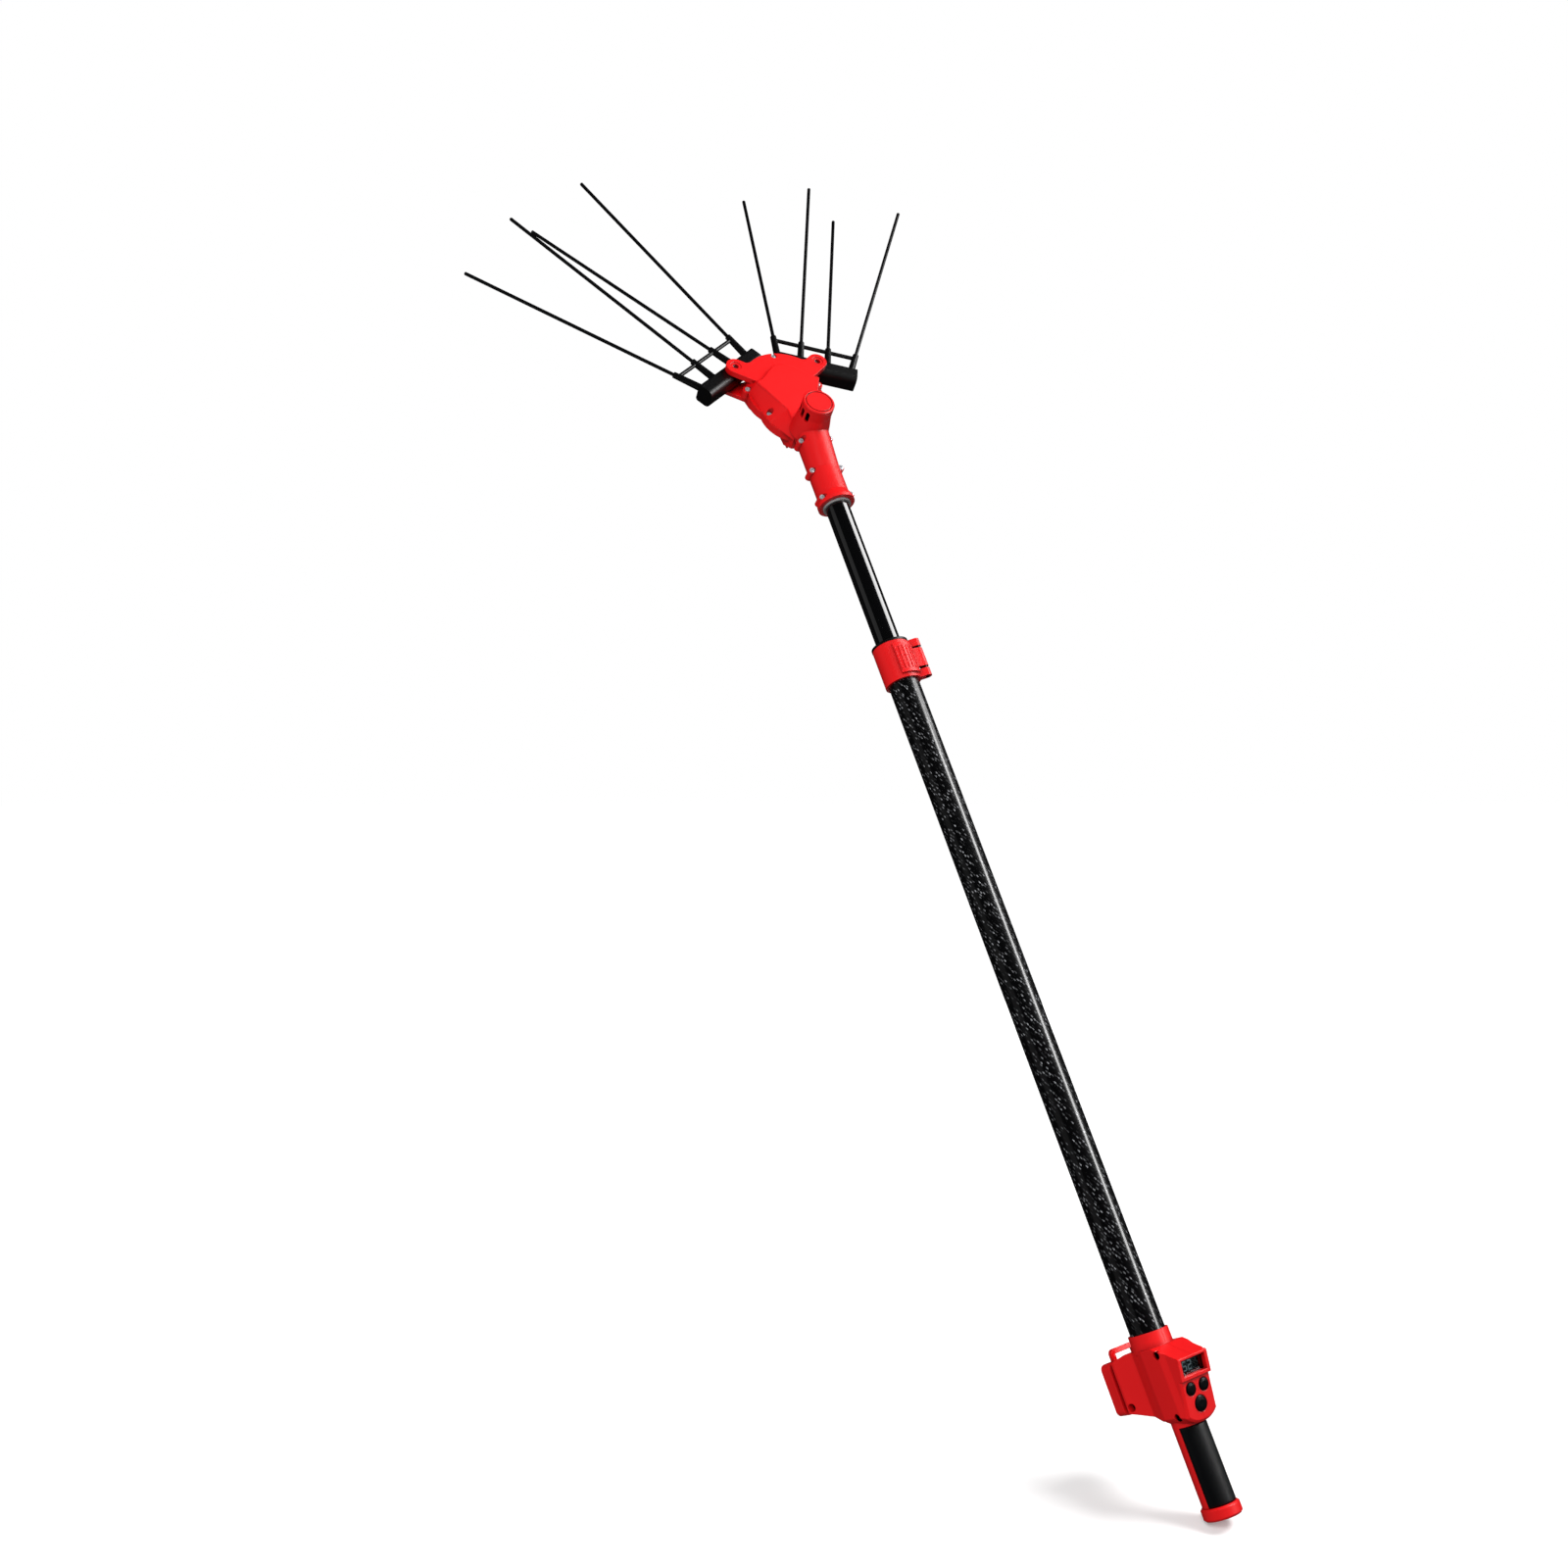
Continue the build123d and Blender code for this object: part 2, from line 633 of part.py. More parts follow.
# Clamp collar with two lugs, slit beside them so that it can close on the tube
with BuildPart() as clamp_collar:
    with BuildSketch(clamp_plane(CLAMP_START)):
        Circle(CLAMP_R)
    extrude(amount=CLAMP_END - CLAMP_START)
    for lug_x in (CLAMP_START, CLAMP_END - LUG_T):
        with BuildSketch(clamp_plane(lug_x)):
            with Locations((LUG_REACH / 2, 0)):
                Rectangle(LUG_REACH, 2 * LUG_R)
            with Locations((LUG_REACH, 0)):
                Circle(LUG_R)
        extrude(amount=LUG_T)
    with BuildSketch(clamp_plane(CLAMP_START)):
        Circle(TUBE_R + RUN)
        with Locations((LUG_REACH, 0)):
            Circle(LEVER_PIN_R + RUN)
        with Locations(Rotation(0, 0, SLIT_TURN)):
            with Locations((CLAMP_R, 0)):
                Rectangle(3 * WALL, WALL / 2)
    extrude(amount=CLAMP_END - CLAMP_START, mode=Mode.SUBTRACT)
save(clamp_collar, "clamp_collar")

# Plastic liner between the tubes, with a lip on the collar
with BuildPart() as clamp_liner:
    with BuildSketch(pole_plane(CLAMP_START)):
        Circle(TUBE_R - TUBE_WALL - RUN)
    extrude(amount=TUBE_END - CLAMP_START)
    with BuildSketch(pole_plane(CLAMP_END)):
        Circle(CLAMP_R + LIP_PROUD)
    extrude(amount=LIP_T)
    with BuildSketch(pole_plane(TUBE_END)):
        Circle(TUBE_R)
    extrude(amount=CLAMP_END - TUBE_END)
    with BuildSketch(pole_plane(CLAMP_START)):
        Circle(INNER_R + RUN)
    extrude(amount=CLAMP_END - CLAMP_START + LIP_T, mode=Mode.SUBTRACT)
save(clamp_liner, "clamp_liner")

LEVER_IN = CLAMP_R + GAP
HUB_START = CLAMP_START + LUG_T + WALL
HUB_END = CLAMP_END - LUG_T - WALL


def lever_arc(start_angle):
    """Profile of the lever's curved plate from start_angle to its tip."""
    with BuildSketch(clamp_plane(HUB_START)) as profile:
        Circle(LEVER_IN + LEVER_T)
        Circle(LEVER_IN, mode=Mode.SUBTRACT)
        far = 2 * CLAMP_R
        with BuildLine():
            Polyline(
                (0, 0),
                (far * cos(radians(start_angle)), -far * sin(radians(start_angle))),
                (far, -far),
                (far * cos(radians(LEVER_END)), -far * sin(radians(LEVER_END))),
                close=True,
            )
        make_face(mode=Mode.INTERSECT)
    return profile.sketch


# Clamp lever: a hub on the pin and a ribbed plate that hugs the collar
with BuildPart() as clamp_lever:
    extrude(lever_arc(LEVER_START / 2), amount=HUB_END - HUB_START)
    with BuildSketch(clamp_plane(HUB_START)):
        with Locations((LUG_REACH, 0)):
            Circle(LUG_R)
        with BuildLine():
            Polyline(
                (LUG_REACH, LUG_R),
                (LEVER_IN + LEVER_T, 0),
                (LEVER_IN * cos(radians(LEVER_START)), -LEVER_IN * sin(radians(LEVER_START))),
                (LUG_REACH, -LUG_R),
                close=True,
            )
        make_face()
        Circle(LEVER_IN, mode=Mode.SUBTRACT)
        with Locations((LUG_REACH, 0)):
            Circle(LEVER_PIN_R + RUN, mode=Mode.SUBTRACT)
    extrude(amount=HUB_END - HUB_START)
    lever_plate = lever_arc(LEVER_START)
    extrude(lever_plate, amount=CLAMP_END - LEVER_INSET - HUB_START)
    extrude(lever_plate, amount=CLAMP_START + LEVER_INSET - HUB_START)
    rib_step = (LEVER_END - LEVER_START - 2 * RIB_MARGIN) / (LEVER_RIBS - 1)
    with BuildSketch(clamp_plane(CLAMP_START + 2 * LEVER_INSET)):
        for rib in range(LEVER_RIBS):
            rib_angle = radians(LEVER_START + RIB_MARGIN + rib * rib_step)
            with Locations(((LEVER_IN + LEVER_T) * cos(rib_angle), -(LEVER_IN + LEVER_T) * sin(rib_angle))):
                Circle(RIB_R)
    extrude(amount=CLAMP_END - CLAMP_START - 4 * LEVER_INSET)
save(clamp_lever, "clamp_lever")

with BuildPart() as lever_pin:
    with BuildSketch(clamp_plane(CLAMP_START - LEVER_PIN_PROUD)):
        with Locations((LUG_REACH, 0)):
            Circle(LEVER_PIN_R)
    extrude(amount=CLAMP_END - CLAMP_START + 2 * LEVER_PIN_PROUD)
    for washer_x in (CLAMP_START + LUG_T + RUN, HUB_END + GAP):
        with BuildSketch(clamp_plane(washer_x)):
            with Locations((LUG_REACH, 0)):
                Circle(LUG_R - WASHER_INSET)
        extrude(amount=WALL - GAP - RUN)
save(lever_pin, "lever_pin")

# Places of the screws, on the head and along the neck
HEAD_SCREWS = [(x, side * y) for x, y in HEAD_SCREW_PLACES for side in (1, -1)]
NECK_SCREWS_X = [HEAD_X + step for step in NECK_SCREW_STEPS]
NECK_SCREW_Y = NECK_R - NECK_SCREW_INSET
NECK_SCREWS = [(x, y) for x in NECK_SCREWS_X for y in (NECK_SCREW_Y, -NECK_SCREW_Y)]

# Neck: a flared sleeve on the inner tube with a shoulder up to the motor and screw bosses along both sides
SHOULDER_START = Vector(HEAD_X - SHOULDER_L, 0, 0)
SHOULDER_END = HEAD.from_local_coords((MOTOR_X, 0, SHOULDER_RISE))
with BuildPart() as neck:
    with BuildSketch(Plane.XZ):
        with BuildLine():
            Polyline(
                (NECK_START, 0),
                (NECK_START, NECK_R + NECK_FLARE),
                (NECK_START + NECK_FLARE_L / 3, NECK_R + NECK_FLARE),
                (NECK_START + NECK_FLARE_L, NECK_R),
                (HEAD_X + NECK_JOIN + NECK_R, NECK_R),
                (HEAD_X + NECK_JOIN + NECK_R, 0),
                close=True,
            )
        make_face()
    revolve(axis=Axis.X)
    shoulder_way = SHOULDER_END - SHOULDER_START
    with BuildSketch(Plane(origin=SHOULDER_START, z_dir=shoulder_way)):
        Circle(NECK_R - GAP)
    extrude(amount=shoulder_way.length)
    with BuildSketch(NECK.offset(NECK_BOSS_BOTTOM)):
        with Locations(*NECK_SCREWS):
            Circle(NECK_BOSS_R)
    extrude(amount=NECK_BOSS_TOP - NECK_BOSS_BOTTOM)
    with BuildSketch(pole_plane(NECK_START)):
        Circle(INNER_R + RUN)
    extrude(amount=INNER_END - NECK_START + NECK_END_ROOM, mode=Mode.SUBTRACT)
    with BuildSketch(NECK.offset(NECK_BOSS_BOTTOM)):
        with Locations(*NECK_SCREWS):
            Circle(SCREW_R + RUN)
    extrude(amount=NECK_BOSS_TOP - NECK_BOSS_BOTTOM, mode=Mode.SUBTRACT)
    with BuildSketch(NECK.offset(NECK_BOSS_TOP)):
        with Locations(*NECK_SCREWS):
            Circle(SCREW_HEAD_R + GAP)
    extrude(amount=NECK_R, mode=Mode.SUBTRACT)
    split(bisect_by=HEAD_BACK, keep=Keep.BOTTOM)


def half_outline(*points):
    """Closed outline from its left half, mirrored about the head's middle line."""
    with BuildLine() as outline:
        Polyline(*points)
        mirror(about=Plane.XZ)
    make_face(outline.edges())


def flange_outline():
    """Outline of the joint between the two covers: two round lobes a side and a boss at each screw."""
    with BuildLine() as outline:
        Polyline((NECK_JOIN, 0), (NECK_JOIN, CASE_HALF), (FLANGE_BACK, CASE_HALF))
        ThreePointArc((FLANGE_BACK, CASE_HALF), REAR_LOBE, FLANGE_NOTCH)
        ThreePointArc(FLANGE_NOTCH, FRONT_LOBE, FLANGE_FRONT)
        Polyline(FLANGE_FRONT, (MOUTH_X, MOUTH_HALF), (MOUTH_X, 0))
        mirror(about=Plane.XZ)
    make_face(outline.edges())
    with Locations(*HEAD_SCREWS):
        Circle(BOSS_R)


def shelf_outline():
    """Outline of the plate that carries the two ears and the front lobe.

    The lobe's round front runs into each ear by a hollow arc that touches both.
    """
    lobe = Vector(LOBE_X, 0)
    ear = Vector(EAR_X, EAR_Y)
    root = Vector(ROOT_X, ROOT_Y)
    way = (ear - lobe).normalized()
    apart = (ear - lobe).length
    near = LOBE_R + WAIST_R
    far = EAR_R + WAIST_R
    along = (near**2 + apart**2 - far**2) / (2 * apart)
    hollow = lobe + way * along + Vector(way.Y, -way.X) * (near**2 - along**2) ** 0.5
    flank = lobe + (hollow - lobe) * (LOBE_R / near)
    end = ear + (hollow - ear) * (EAR_R / far)
    middle = hollow + ((flank + end) * 0.5 - hollow).normalized() * WAIST_R
    with BuildLine() as side:
        ThreePointArc(flank, middle, end)
        Polyline(end, ear, root, lobe, flank)
    make_face(side.edges())
    arm = ear - root
    with Locations((ear + root) * 0.5):
        SlotCenterToCenter(arm.length, 2 * EAR_R, rotation=degrees(atan2(arm.Y, arm.X)))
    mirror(about=Plane.XZ)
    with BuildLine() as front:
        ThreePointArc((flank.X, -flank.Y), (LOBE_X + LOBE_R, 0), (flank.X, flank.Y))
        Polyline((flank.X, flank.Y), lobe, (flank.X, -flank.Y))
    make_face(front.edges())


def case_outline(back, inset):
    """Outline of the gear case from back forward, drawn in by inset at its sides."""
    half_outline(
        (back, 0),
        (back, CASE_HALF - inset),
        (RIDGE_X, CASE_HALF + GAP - inset),
        (RIDGE_FRONT, RIDGE_FRONT_Y - inset),
        (MOUTH_X, MOUTH_HALF - inset),
        (MOUTH_X, 0),
    )


def sill_outline():
    """Outline at the foot of the sloping walls."""
    half_outline(
        (NECK_JOIN, 0),
        (NECK_JOIN, CASE_HALF),
        (RIDGE_X, SILL_Y),
        (RIDGE_FRONT, SILL_FRONT_Y),
        (MOUTH_X, MOUTH_HALF),
        (MOUTH_X, 0),
    )


def ridge_outline():
    """Outline at the top of the sloping walls."""
    half_outline(
        (NECK_JOIN, 0),
        (NECK_JOIN, CASE_HALF - WALL),
        (RIDGE_X, CASE_HALF - PANEL_EDGE),
        (RIDGE_FRONT, RIDGE_FRONT_Y - PANEL_EDGE),
        (RIDGE_FRONT + WALL, PANEL_NECK_Y - PANEL_EDGE),
        (RIDGE_FRONT + WALL, 0),
    )


def panel_outline(inset):
    """Outline of the raised panel over the gears, drawn in by inset."""
    half_outline(
        (MOTOR_X, 0),
        (MOTOR_X, CASE_HALF - inset),
        (RIDGE_X, CASE_HALF + GAP - inset),
        (RIDGE_FRONT - inset, RIDGE_FRONT_Y - inset),
        (RIDGE_FRONT + WALL - inset, PANEL_NECK_Y - inset / 2),
        (PANEL_NOSE_X - inset, PANEL_NOSE_Y - inset / 2),
        (PANEL_TIP_X - inset, PANEL_TIP_Y),
        (PANEL_TIP_X - inset, 0),
    )


def lift(z, amount, outline, *arguments, mode=Mode.ADD):
    """Raise one of the head's outlines from height z."""
    with BuildSketch(HEAD.offset(z)) as profile:
        outline(*arguments)
    extrude(profile.sketch, amount=amount, mode=mode)


def rounds(z, amount, radius, *places, mode=Mode.ADD):
    """Raise or cut round forms of one radius on the head."""
    with BuildSketch(HEAD.offset(z)) as profile:
        with Locations(*places):
            Circle(radius)
    extrude(profile.sketch, amount=amount, mode=mode)


GEAR_TOP = GEAR_BOTTOM + GEAR_T
GEAR_X = MOTOR_X + MODULE * (PINION_TEETH + GEAR_TEETH) / 2
MOUTH_TOP = EAR_TOP - EAR_T
MOUTH_BOTTOM = 2 * COMB_Z - MOUTH_TOP
BASE_Z = MOUTH_BOTTOM - LOW_EAR_T
EARS = [(EAR_X, EAR_Y), (EAR_X, -EAR_Y)]
CUT = Mode.SUBTRACT


def tail_point(angle):
    """Place of the left comb's tail pin at a comb angle, on the head's plane."""
    turn = radians(angle)
    return Vector(
        EAR_X - TAIL_BACK * cos(turn) + TAIL_IN * sin(turn),
        EAR_Y - TAIL_BACK * sin(turn) - TAIL_IN * cos(turn),
    )


TAIL_OUT = tail_point(COMB_OPEN + COMB_SWING / 2)
TAIL_IN_END = tail_point(COMB_OPEN - COMB_SWING / 2)
THROW = (TAIL_OUT.X - TAIL_IN_END.X) / 2
TAIL_Y = (TAIL_OUT.Y + TAIL_IN_END.Y) / 2
YOKE_REACH = (TAIL_OUT.X + TAIL_IN_END.X) / 2 - GEAR_X
YOKE_HALF = ROLLER_R + THROW + YOKE_PLAY + YOKE_BAR
LEFT_Z = COMB_Z + YOKE_STEP
RIGHT_Z = COMB_Z - YOKE_STEP
TRAY_STEP = RIGHT_Z - YOKE_T / 2 - TRAY_ROOM
TRAY_WALL = TRAY_INSET + WALL
LOW_BEARING_Z = BASE_Z + 2 * WALL


def yoke_guides():
    """Ribs beside the yokes that keep them straight."""
    guide_y = YOKE_HALF + GAP + GUIDE_T / 2
    with Locations((GEAR_X - GUIDE_L / 4, guide_y), (GEAR_X - GUIDE_L / 4, -guide_y)):
        Rectangle(GUIDE_L, GUIDE_T)


# Motor tower: a cylinder with a flared foot
MOTOR_FOOT = HEAD.from_local_coords((MOTOR_X, 0, 0))
with BuildPart() as tower:
    with BuildSketch(Plane(origin=MOTOR_FOOT, x_dir=HEAD_FRONT, z_dir=-HEAD.y_dir)):
        with BuildLine():
            Polyline(
                (0, TOWER_FOOT),
                (TOWER_FOOT_R, TOWER_FOOT),
                (TOWER_FLARE_R, TOWER_FLARE),
                (TOWER_R, TOWER_WAIST),
                (TOWER_R, TOWER_TOP),
                (0, TOWER_TOP),
                close=True,
            )
        make_face()
    revolve(axis=Axis(MOTOR_FOOT, HEAD_UP))

# Raised panel over the gears, its upper edges bevelled
with BuildPart() as panel:
    lift(MOUTH_TOP, PANEL_Z - MOUTH_TOP, panel_outline, 0)
    chamfer(panel.faces().sort_by(Axis(HEAD.origin, HEAD_UP))[-1].edges(), length=PANEL_EDGE)

PINION_ROOM = MODULE * PINION_TEETH / 2 + WALL
ROOF_Z = PANEL_Z - WALL

# Top cover: gear case, raised panel, upper ears and motor tower
with BuildPart() as head_top:
    add(split(neck.part, bisect_by=NECK, keep=Keep.TOP, mode=Mode.PRIVATE))
    lift(SPLIT_Z, FLANGE_T, flange_outline)
    with BuildSketch(HEAD.offset(SPLIT_Z + FLANGE_T - GAP)):
        sill_outline()
    with BuildSketch(HEAD.offset(PANEL_Z)):
        ridge_outline()
    loft(ruled=True)
    add(panel.part)
    lift(MOUTH_TOP, EAR_T, shelf_outline)
    add(tower.part)
    rounds(SPLIT_Z, MOUTH_TOP - SPLIT_Z, POST_R, (POST_X, 0))
    lift(SPLIT_Z, EAR_TOP - WALL - SPLIT_Z, case_outline, NECK_JOIN + WALL, WALL, mode=CUT)
    lift(SPLIT_Z, ROOF_Z - SPLIT_Z, panel_outline, WALL, mode=CUT)
    rounds(GEAR_TOP + GAP, MOTOR_BASE - GEAR_TOP - GAP, TOWER_R - RUN, (MOTOR_X, 0))
    rounds(GEAR_TOP + GAP, ROOF_Z - GEAR_TOP - GAP, BEARING_R + WALL, (GEAR_X, 0))
    rounds(GEAR_TOP + GAP, BEARING_T, BEARING_R + RUN, (GEAR_X, 0), mode=CUT)
    rounds(MOTOR_BASE, TOWER_TOP - MOTOR_BASE, MOTOR_R + 2 * GAP, (MOTOR_X, 0), mode=CUT)
    rounds(SPLIT_Z, MOTOR_BASE - SPLIT_Z, PINION_ROOM, (MOTOR_X, 0), mode=CUT)
    rounds(MOUTH_TOP, EAR_T, PIVOT_R + RUN, *EARS, mode=CUT)
    rounds(EAR_TOP - EAR_RING_T, EAR_RING_T, EAR_RING_R, *EARS, mode=CUT)
    rounds(SPLIT_Z, PANEL_Z - SPLIT_Z, SCREW_R + RUN, *HEAD_SCREWS, (POST_X, 0), mode=CUT)
    rounds(SPLIT_Z + FLANGE_T, PANEL_Z - SPLIT_Z, SCREW_HEAD_R + GAP, *HEAD_SCREWS, mode=CUT)
    rounds(EAR_TOP - WALL, WALL, SCREW_HEAD_R + GAP, (POST_X, 0), mode=CUT)
    with BuildSketch(HEAD.offset(EAR_TOP - WALL)):
        with Locations((POST_X + LOBE_R / 2, 0)):
            Rectangle(LOBE_R, SCREW_HEAD_R)
    extrude(amount=WALL, mode=CUT)
    for side in (1, -1):
        for vent_angle in VENT_ANGLES:
            vent_way = Vector(cos(radians(vent_angle)), side * sin(radians(vent_angle)), 0)
            vent_plane = Plane(
                origin=HEAD.from_local_coords((MOTOR_X, 0, VENT_Z)),
                x_dir=HEAD_UP,
                z_dir=HEAD_FRONT * vent_way.X + HEAD.y_dir * vent_way.Y,
            )
            with BuildSketch(vent_plane):
                SlotOverall(VENT_L, VENT_W)
            extrude(amount=TOWER_FOOT_R, mode=CUT)
save(head_top, "head_top_cover")


def tray_slope():
    """Side profile cut away where the tray rises to the neck."""
    with BuildLine() as outline:
        Polyline(
            (NECK_JOIN, BASE_Z),
            (GEAR_X - BEARING_R - WALL, BASE_Z),
            (NECK_JOIN, -CASE_HALF),
            close=True,
        )
    make_face(outline.edges())


# Bottom cover: tray of the gear case and lower ears
with BuildPart() as head_bottom:
    add(split(neck.part, bisect_by=NECK, keep=Keep.BOTTOM, mode=Mode.PRIVATE))
    lift(SPLIT_Z - FLANGE_T, FLANGE_T, flange_outline)
    lift(BASE_Z, SPLIT_Z - BASE_Z, case_outline, NECK_JOIN, TRAY_INSET)
    lift(BASE_Z, LOW_EAR_T, shelf_outline)
    rounds(BASE_Z, SPLIT_Z - BASE_Z, POST_R, (POST_X, 0))
    with BuildSketch(Plane(origin=HEAD.origin, x_dir=HEAD_FRONT, z_dir=-HEAD.y_dir)) as slope:
        tray_slope()
    extrude(slope.sketch, amount=2 * CASE_HALF, both=True, mode=CUT)
    lift(BASE_Z + WALL, SPLIT_Z - BASE_Z - WALL, case_outline, GEAR_X - BEARING_R, TRAY_WALL, mode=CUT)
    lift(TRAY_STEP, SPLIT_Z - TRAY_STEP, case_outline, NECK_JOIN + 2 * WALL, TRAY_WALL, mode=CUT)
    rounds(BASE_Z, LOW_BEARING_Z + BEARING_T - BASE_Z, BEARING_R + WALL, (GEAR_X, 0))
    rounds(LOW_BEARING_Z, BEARING_T, BEARING_R + RUN, (GEAR_X, 0), mode=CUT)
    lift(BASE_Z + RUN, SPLIT_Z - BASE_Z - RUN, yoke_guides)
    rounds(GEAR_BOTTOM - GAP, CASE_HALF, PINION_ROOM, (MOTOR_X, 0), mode=CUT)
    rounds(BASE_Z, LOW_EAR_T, PIVOT_R + RUN, *EARS, mode=CUT)
    rounds(BASE_Z, SPLIT_Z - BASE_Z, SCREW_R + RUN, *HEAD_SCREWS, (POST_X, 0), mode=CUT)
save(head_bottom, "head_bottom_cover")

# Round cap that closes the motor tower
with BuildPart() as motor_cap:
    rounds(TOWER_TOP, MOTOR_CAP_T, TOWER_R, (MOTOR_X, 0))
    chamfer(motor_cap.faces().sort_by(Axis(HEAD.origin, HEAD_UP))[-1].edges(), length=CAP_EDGE)
    with BuildSketch(HEAD.offset(TOWER_TOP + MOTOR_CAP_T)):
        with Locations((MOTOR_X, 0)):
            Circle(CAP_DISC_R + CAP_GROOVE)
            Circle(CAP_DISC_R, mode=CUT)
    extrude(amount=-CAP_GROOVE, mode=CUT)
    rounds(TOWER_TOP, MOTOR_BASE + MOTOR_L + RUN - TOWER_TOP, MOTOR_R, (MOTOR_X, 0))
save(motor_cap, "motor_cap")

# Screws: pan heads with shanks into the bottom cover
with BuildPart() as head_screws:
    rounds(SPLIT_Z + FLANGE_T, SCREW_HEAD_T, SCREW_HEAD_R, *HEAD_SCREWS)
    rounds(SPLIT_Z - FLANGE_T, 2 * FLANGE_T, SCREW_R, *HEAD_SCREWS)
    rounds(EAR_TOP - WALL, SCREW_HEAD_T, SCREW_HEAD_R, (POST_X, 0))
    rounds(BASE_Z + WALL, EAR_TOP - BASE_Z - 2 * WALL, SCREW_R, (POST_X, 0))
save(head_screws, "head_screws")

with BuildPart() as neck_screws:
    with BuildSketch(NECK.offset(NECK_BOSS_TOP)):
        with Locations(*NECK_SCREWS):
            Circle(SCREW_HEAD_R)
    extrude(amount=SCREW_HEAD_T)
    with BuildSketch(NECK.offset(NECK_BOSS_BOTTOM)):
        with Locations(*NECK_SCREWS):
            Circle(SCREW_R)
    extrude(amount=NECK_BOSS_TOP - NECK_BOSS_BOTTOM)
save(neck_screws, "neck_screws")

# Drive motor standing in the tower, its shaft pointing down
with BuildPart() as drive_motor:
    rounds(MOTOR_BASE + RUN, MOTOR_L - RUN, MOTOR_R, (MOTOR_X, 0))
    chamfer(drive_motor.edges().filter_by(GeomType.CIRCLE), length=MOTOR_EDGE)
    rounds(MOTOR_BASE + RUN, MOTOR_L / 2, SHAFT_R + RUN, (MOTOR_X, 0), mode=CUT)
save(drive_motor, "drive_motor")

with BuildPart() as motor_shaft:
    rounds(GEAR_BOTTOM, MOTOR_BASE - GEAR_BOTTOM + MOTOR_L / 3, SHAFT_R, (MOTOR_X, 0))
save(motor_shaft, "motor_shaft")


def gear_outline(x, teeth, phase):
    """Spur gear with straight-sided teeth; one tooth points at angle phase."""
    pitch_r = MODULE * teeth / 2
    root_r = pitch_r - DEDENDUM * MODULE
    tip_r = pitch_r + ADDENDUM * MODULE
    root_half = TOOTH_HALF * MODULE * pi / 2 / pitch_r * ROOT_SPREAD
    tip_half = TOOTH_HALF * MODULE * pi / 2 / pitch_r * TIP_SPREAD
    points = []
    for tooth in range(teeth):
        middle = phase + 2 * pi * tooth / teeth
        for radius, turn in ((root_r, -root_half), (tip_r, -tip_half)):
            points.append((x + radius * cos(middle + turn), radius * sin(middle + turn)))
        for radius, turn in ((tip_r, tip_half), (root_r, root_half)):
            points.append((x + radius * cos(middle + turn), radius * sin(middle + turn)))
    with BuildLine() as outline:
        Polyline(*points, close=True)
    make_face(outline.edges())


# Meshing gears: a tooth of the crank gear points at a gap of the pinion
with BuildPart() as motor_pinion:
    lift(GEAR_BOTTOM, GEAR_T, gear_outline, MOTOR_X, PINION_TEETH, pi / PINION_TEETH)
    rounds(GEAR_BOTTOM, GEAR_T, SHAFT_R + RUN, (MOTOR_X, 0), mode=CUT)
save(motor_pinion, "motor_pinion")

with BuildPart() as crank_gear:
    lift(GEAR_BOTTOM, GEAR_T, gear_outline, GEAR_X, GEAR_TEETH, pi)
    rounds(LEFT_Z + YOKE_T / 2 + GAP, GEAR_BOTTOM - LEFT_Z - YOKE_T / 2 - GAP, HUB_R, (GEAR_X, 0))
    rounds(LEFT_Z, GEAR_TOP - LEFT_Z, CRANK_R + RUN, (GEAR_X, 0), mode=CUT)
    lightening = (MODULE * GEAR_TEETH / 2 + HUB_R) / 2 - 0.5 * MODULE
    hole_turns = [2 * pi * hole / GEAR_HOLES for hole in range(GEAR_HOLES)]
    hole_places = [(GEAR_X + lightening * cos(turn), lightening * sin(turn)) for turn in hole_turns]
    rounds(GEAR_BOTTOM, GEAR_T, HOLE_R, *hole_places, mode=CUT)
save(crank_gear, "crank_gear")


# Crank shaft with two eccentrics half a turn apart
SHAFT_BOTTOM = LOW_BEARING_Z + GAP
SHAFT_TOP = GEAR_TOP + GAP + BEARING_T
with BuildPart() as crank_shaft:
    rounds(SHAFT_BOTTOM, SHAFT_TOP - SHAFT_BOTTOM, CRANK_R, (GEAR_X, 0))
    rounds(LEFT_Z - ROLLER_T / 2, ROLLER_T, ECCENTRIC_R, (GEAR_X + THROW, 0))
    rounds(RIGHT_Z - ROLLER_T / 2, ROLLER_T, ECCENTRIC_R, (GEAR_X - THROW, 0))
    rounds(RIGHT_Z + ROLLER_T / 2, LEFT_Z - RIGHT_Z - ROLLER_T, ECCENTRIC_R, (GEAR_X, 0))
    lower_collar = LOW_BEARING_Z + BEARING_T + GAP
    rounds(lower_collar, RIGHT_Z - ROLLER_T / 2 - lower_collar, CRANK_R + WALL / 2, (GEAR_X, 0))
save(crank_shaft, "crank_shaft")

with BuildPart() as shaft_bearings:
    for bearing_z in (LOW_BEARING_Z, GEAR_TOP + GAP):
        rounds(bearing_z, BEARING_T, BEARING_R, (GEAR_X, 0))
        rounds(bearing_z, BEARING_T, CRANK_R + RUN, (GEAR_X, 0), mode=CUT)
save(shaft_bearings, "shaft_bearings")

with BuildPart() as eccentric_bearings:
    for roller_z, roller_x in ((LEFT_Z, GEAR_X + THROW), (RIGHT_Z, GEAR_X - THROW)):
        with BuildSketch(HEAD.offset(roller_z - ROLLER_T / 2 + RUN)):
            with Locations((roller_x, 0)):
                Circle(ROLLER_R)
                Circle(ECCENTRIC_R + RUN, mode=CUT)
        extrude(amount=ROLLER_T - 2 * RUN)
save(eccentric_bearings, "eccentric_bearings")


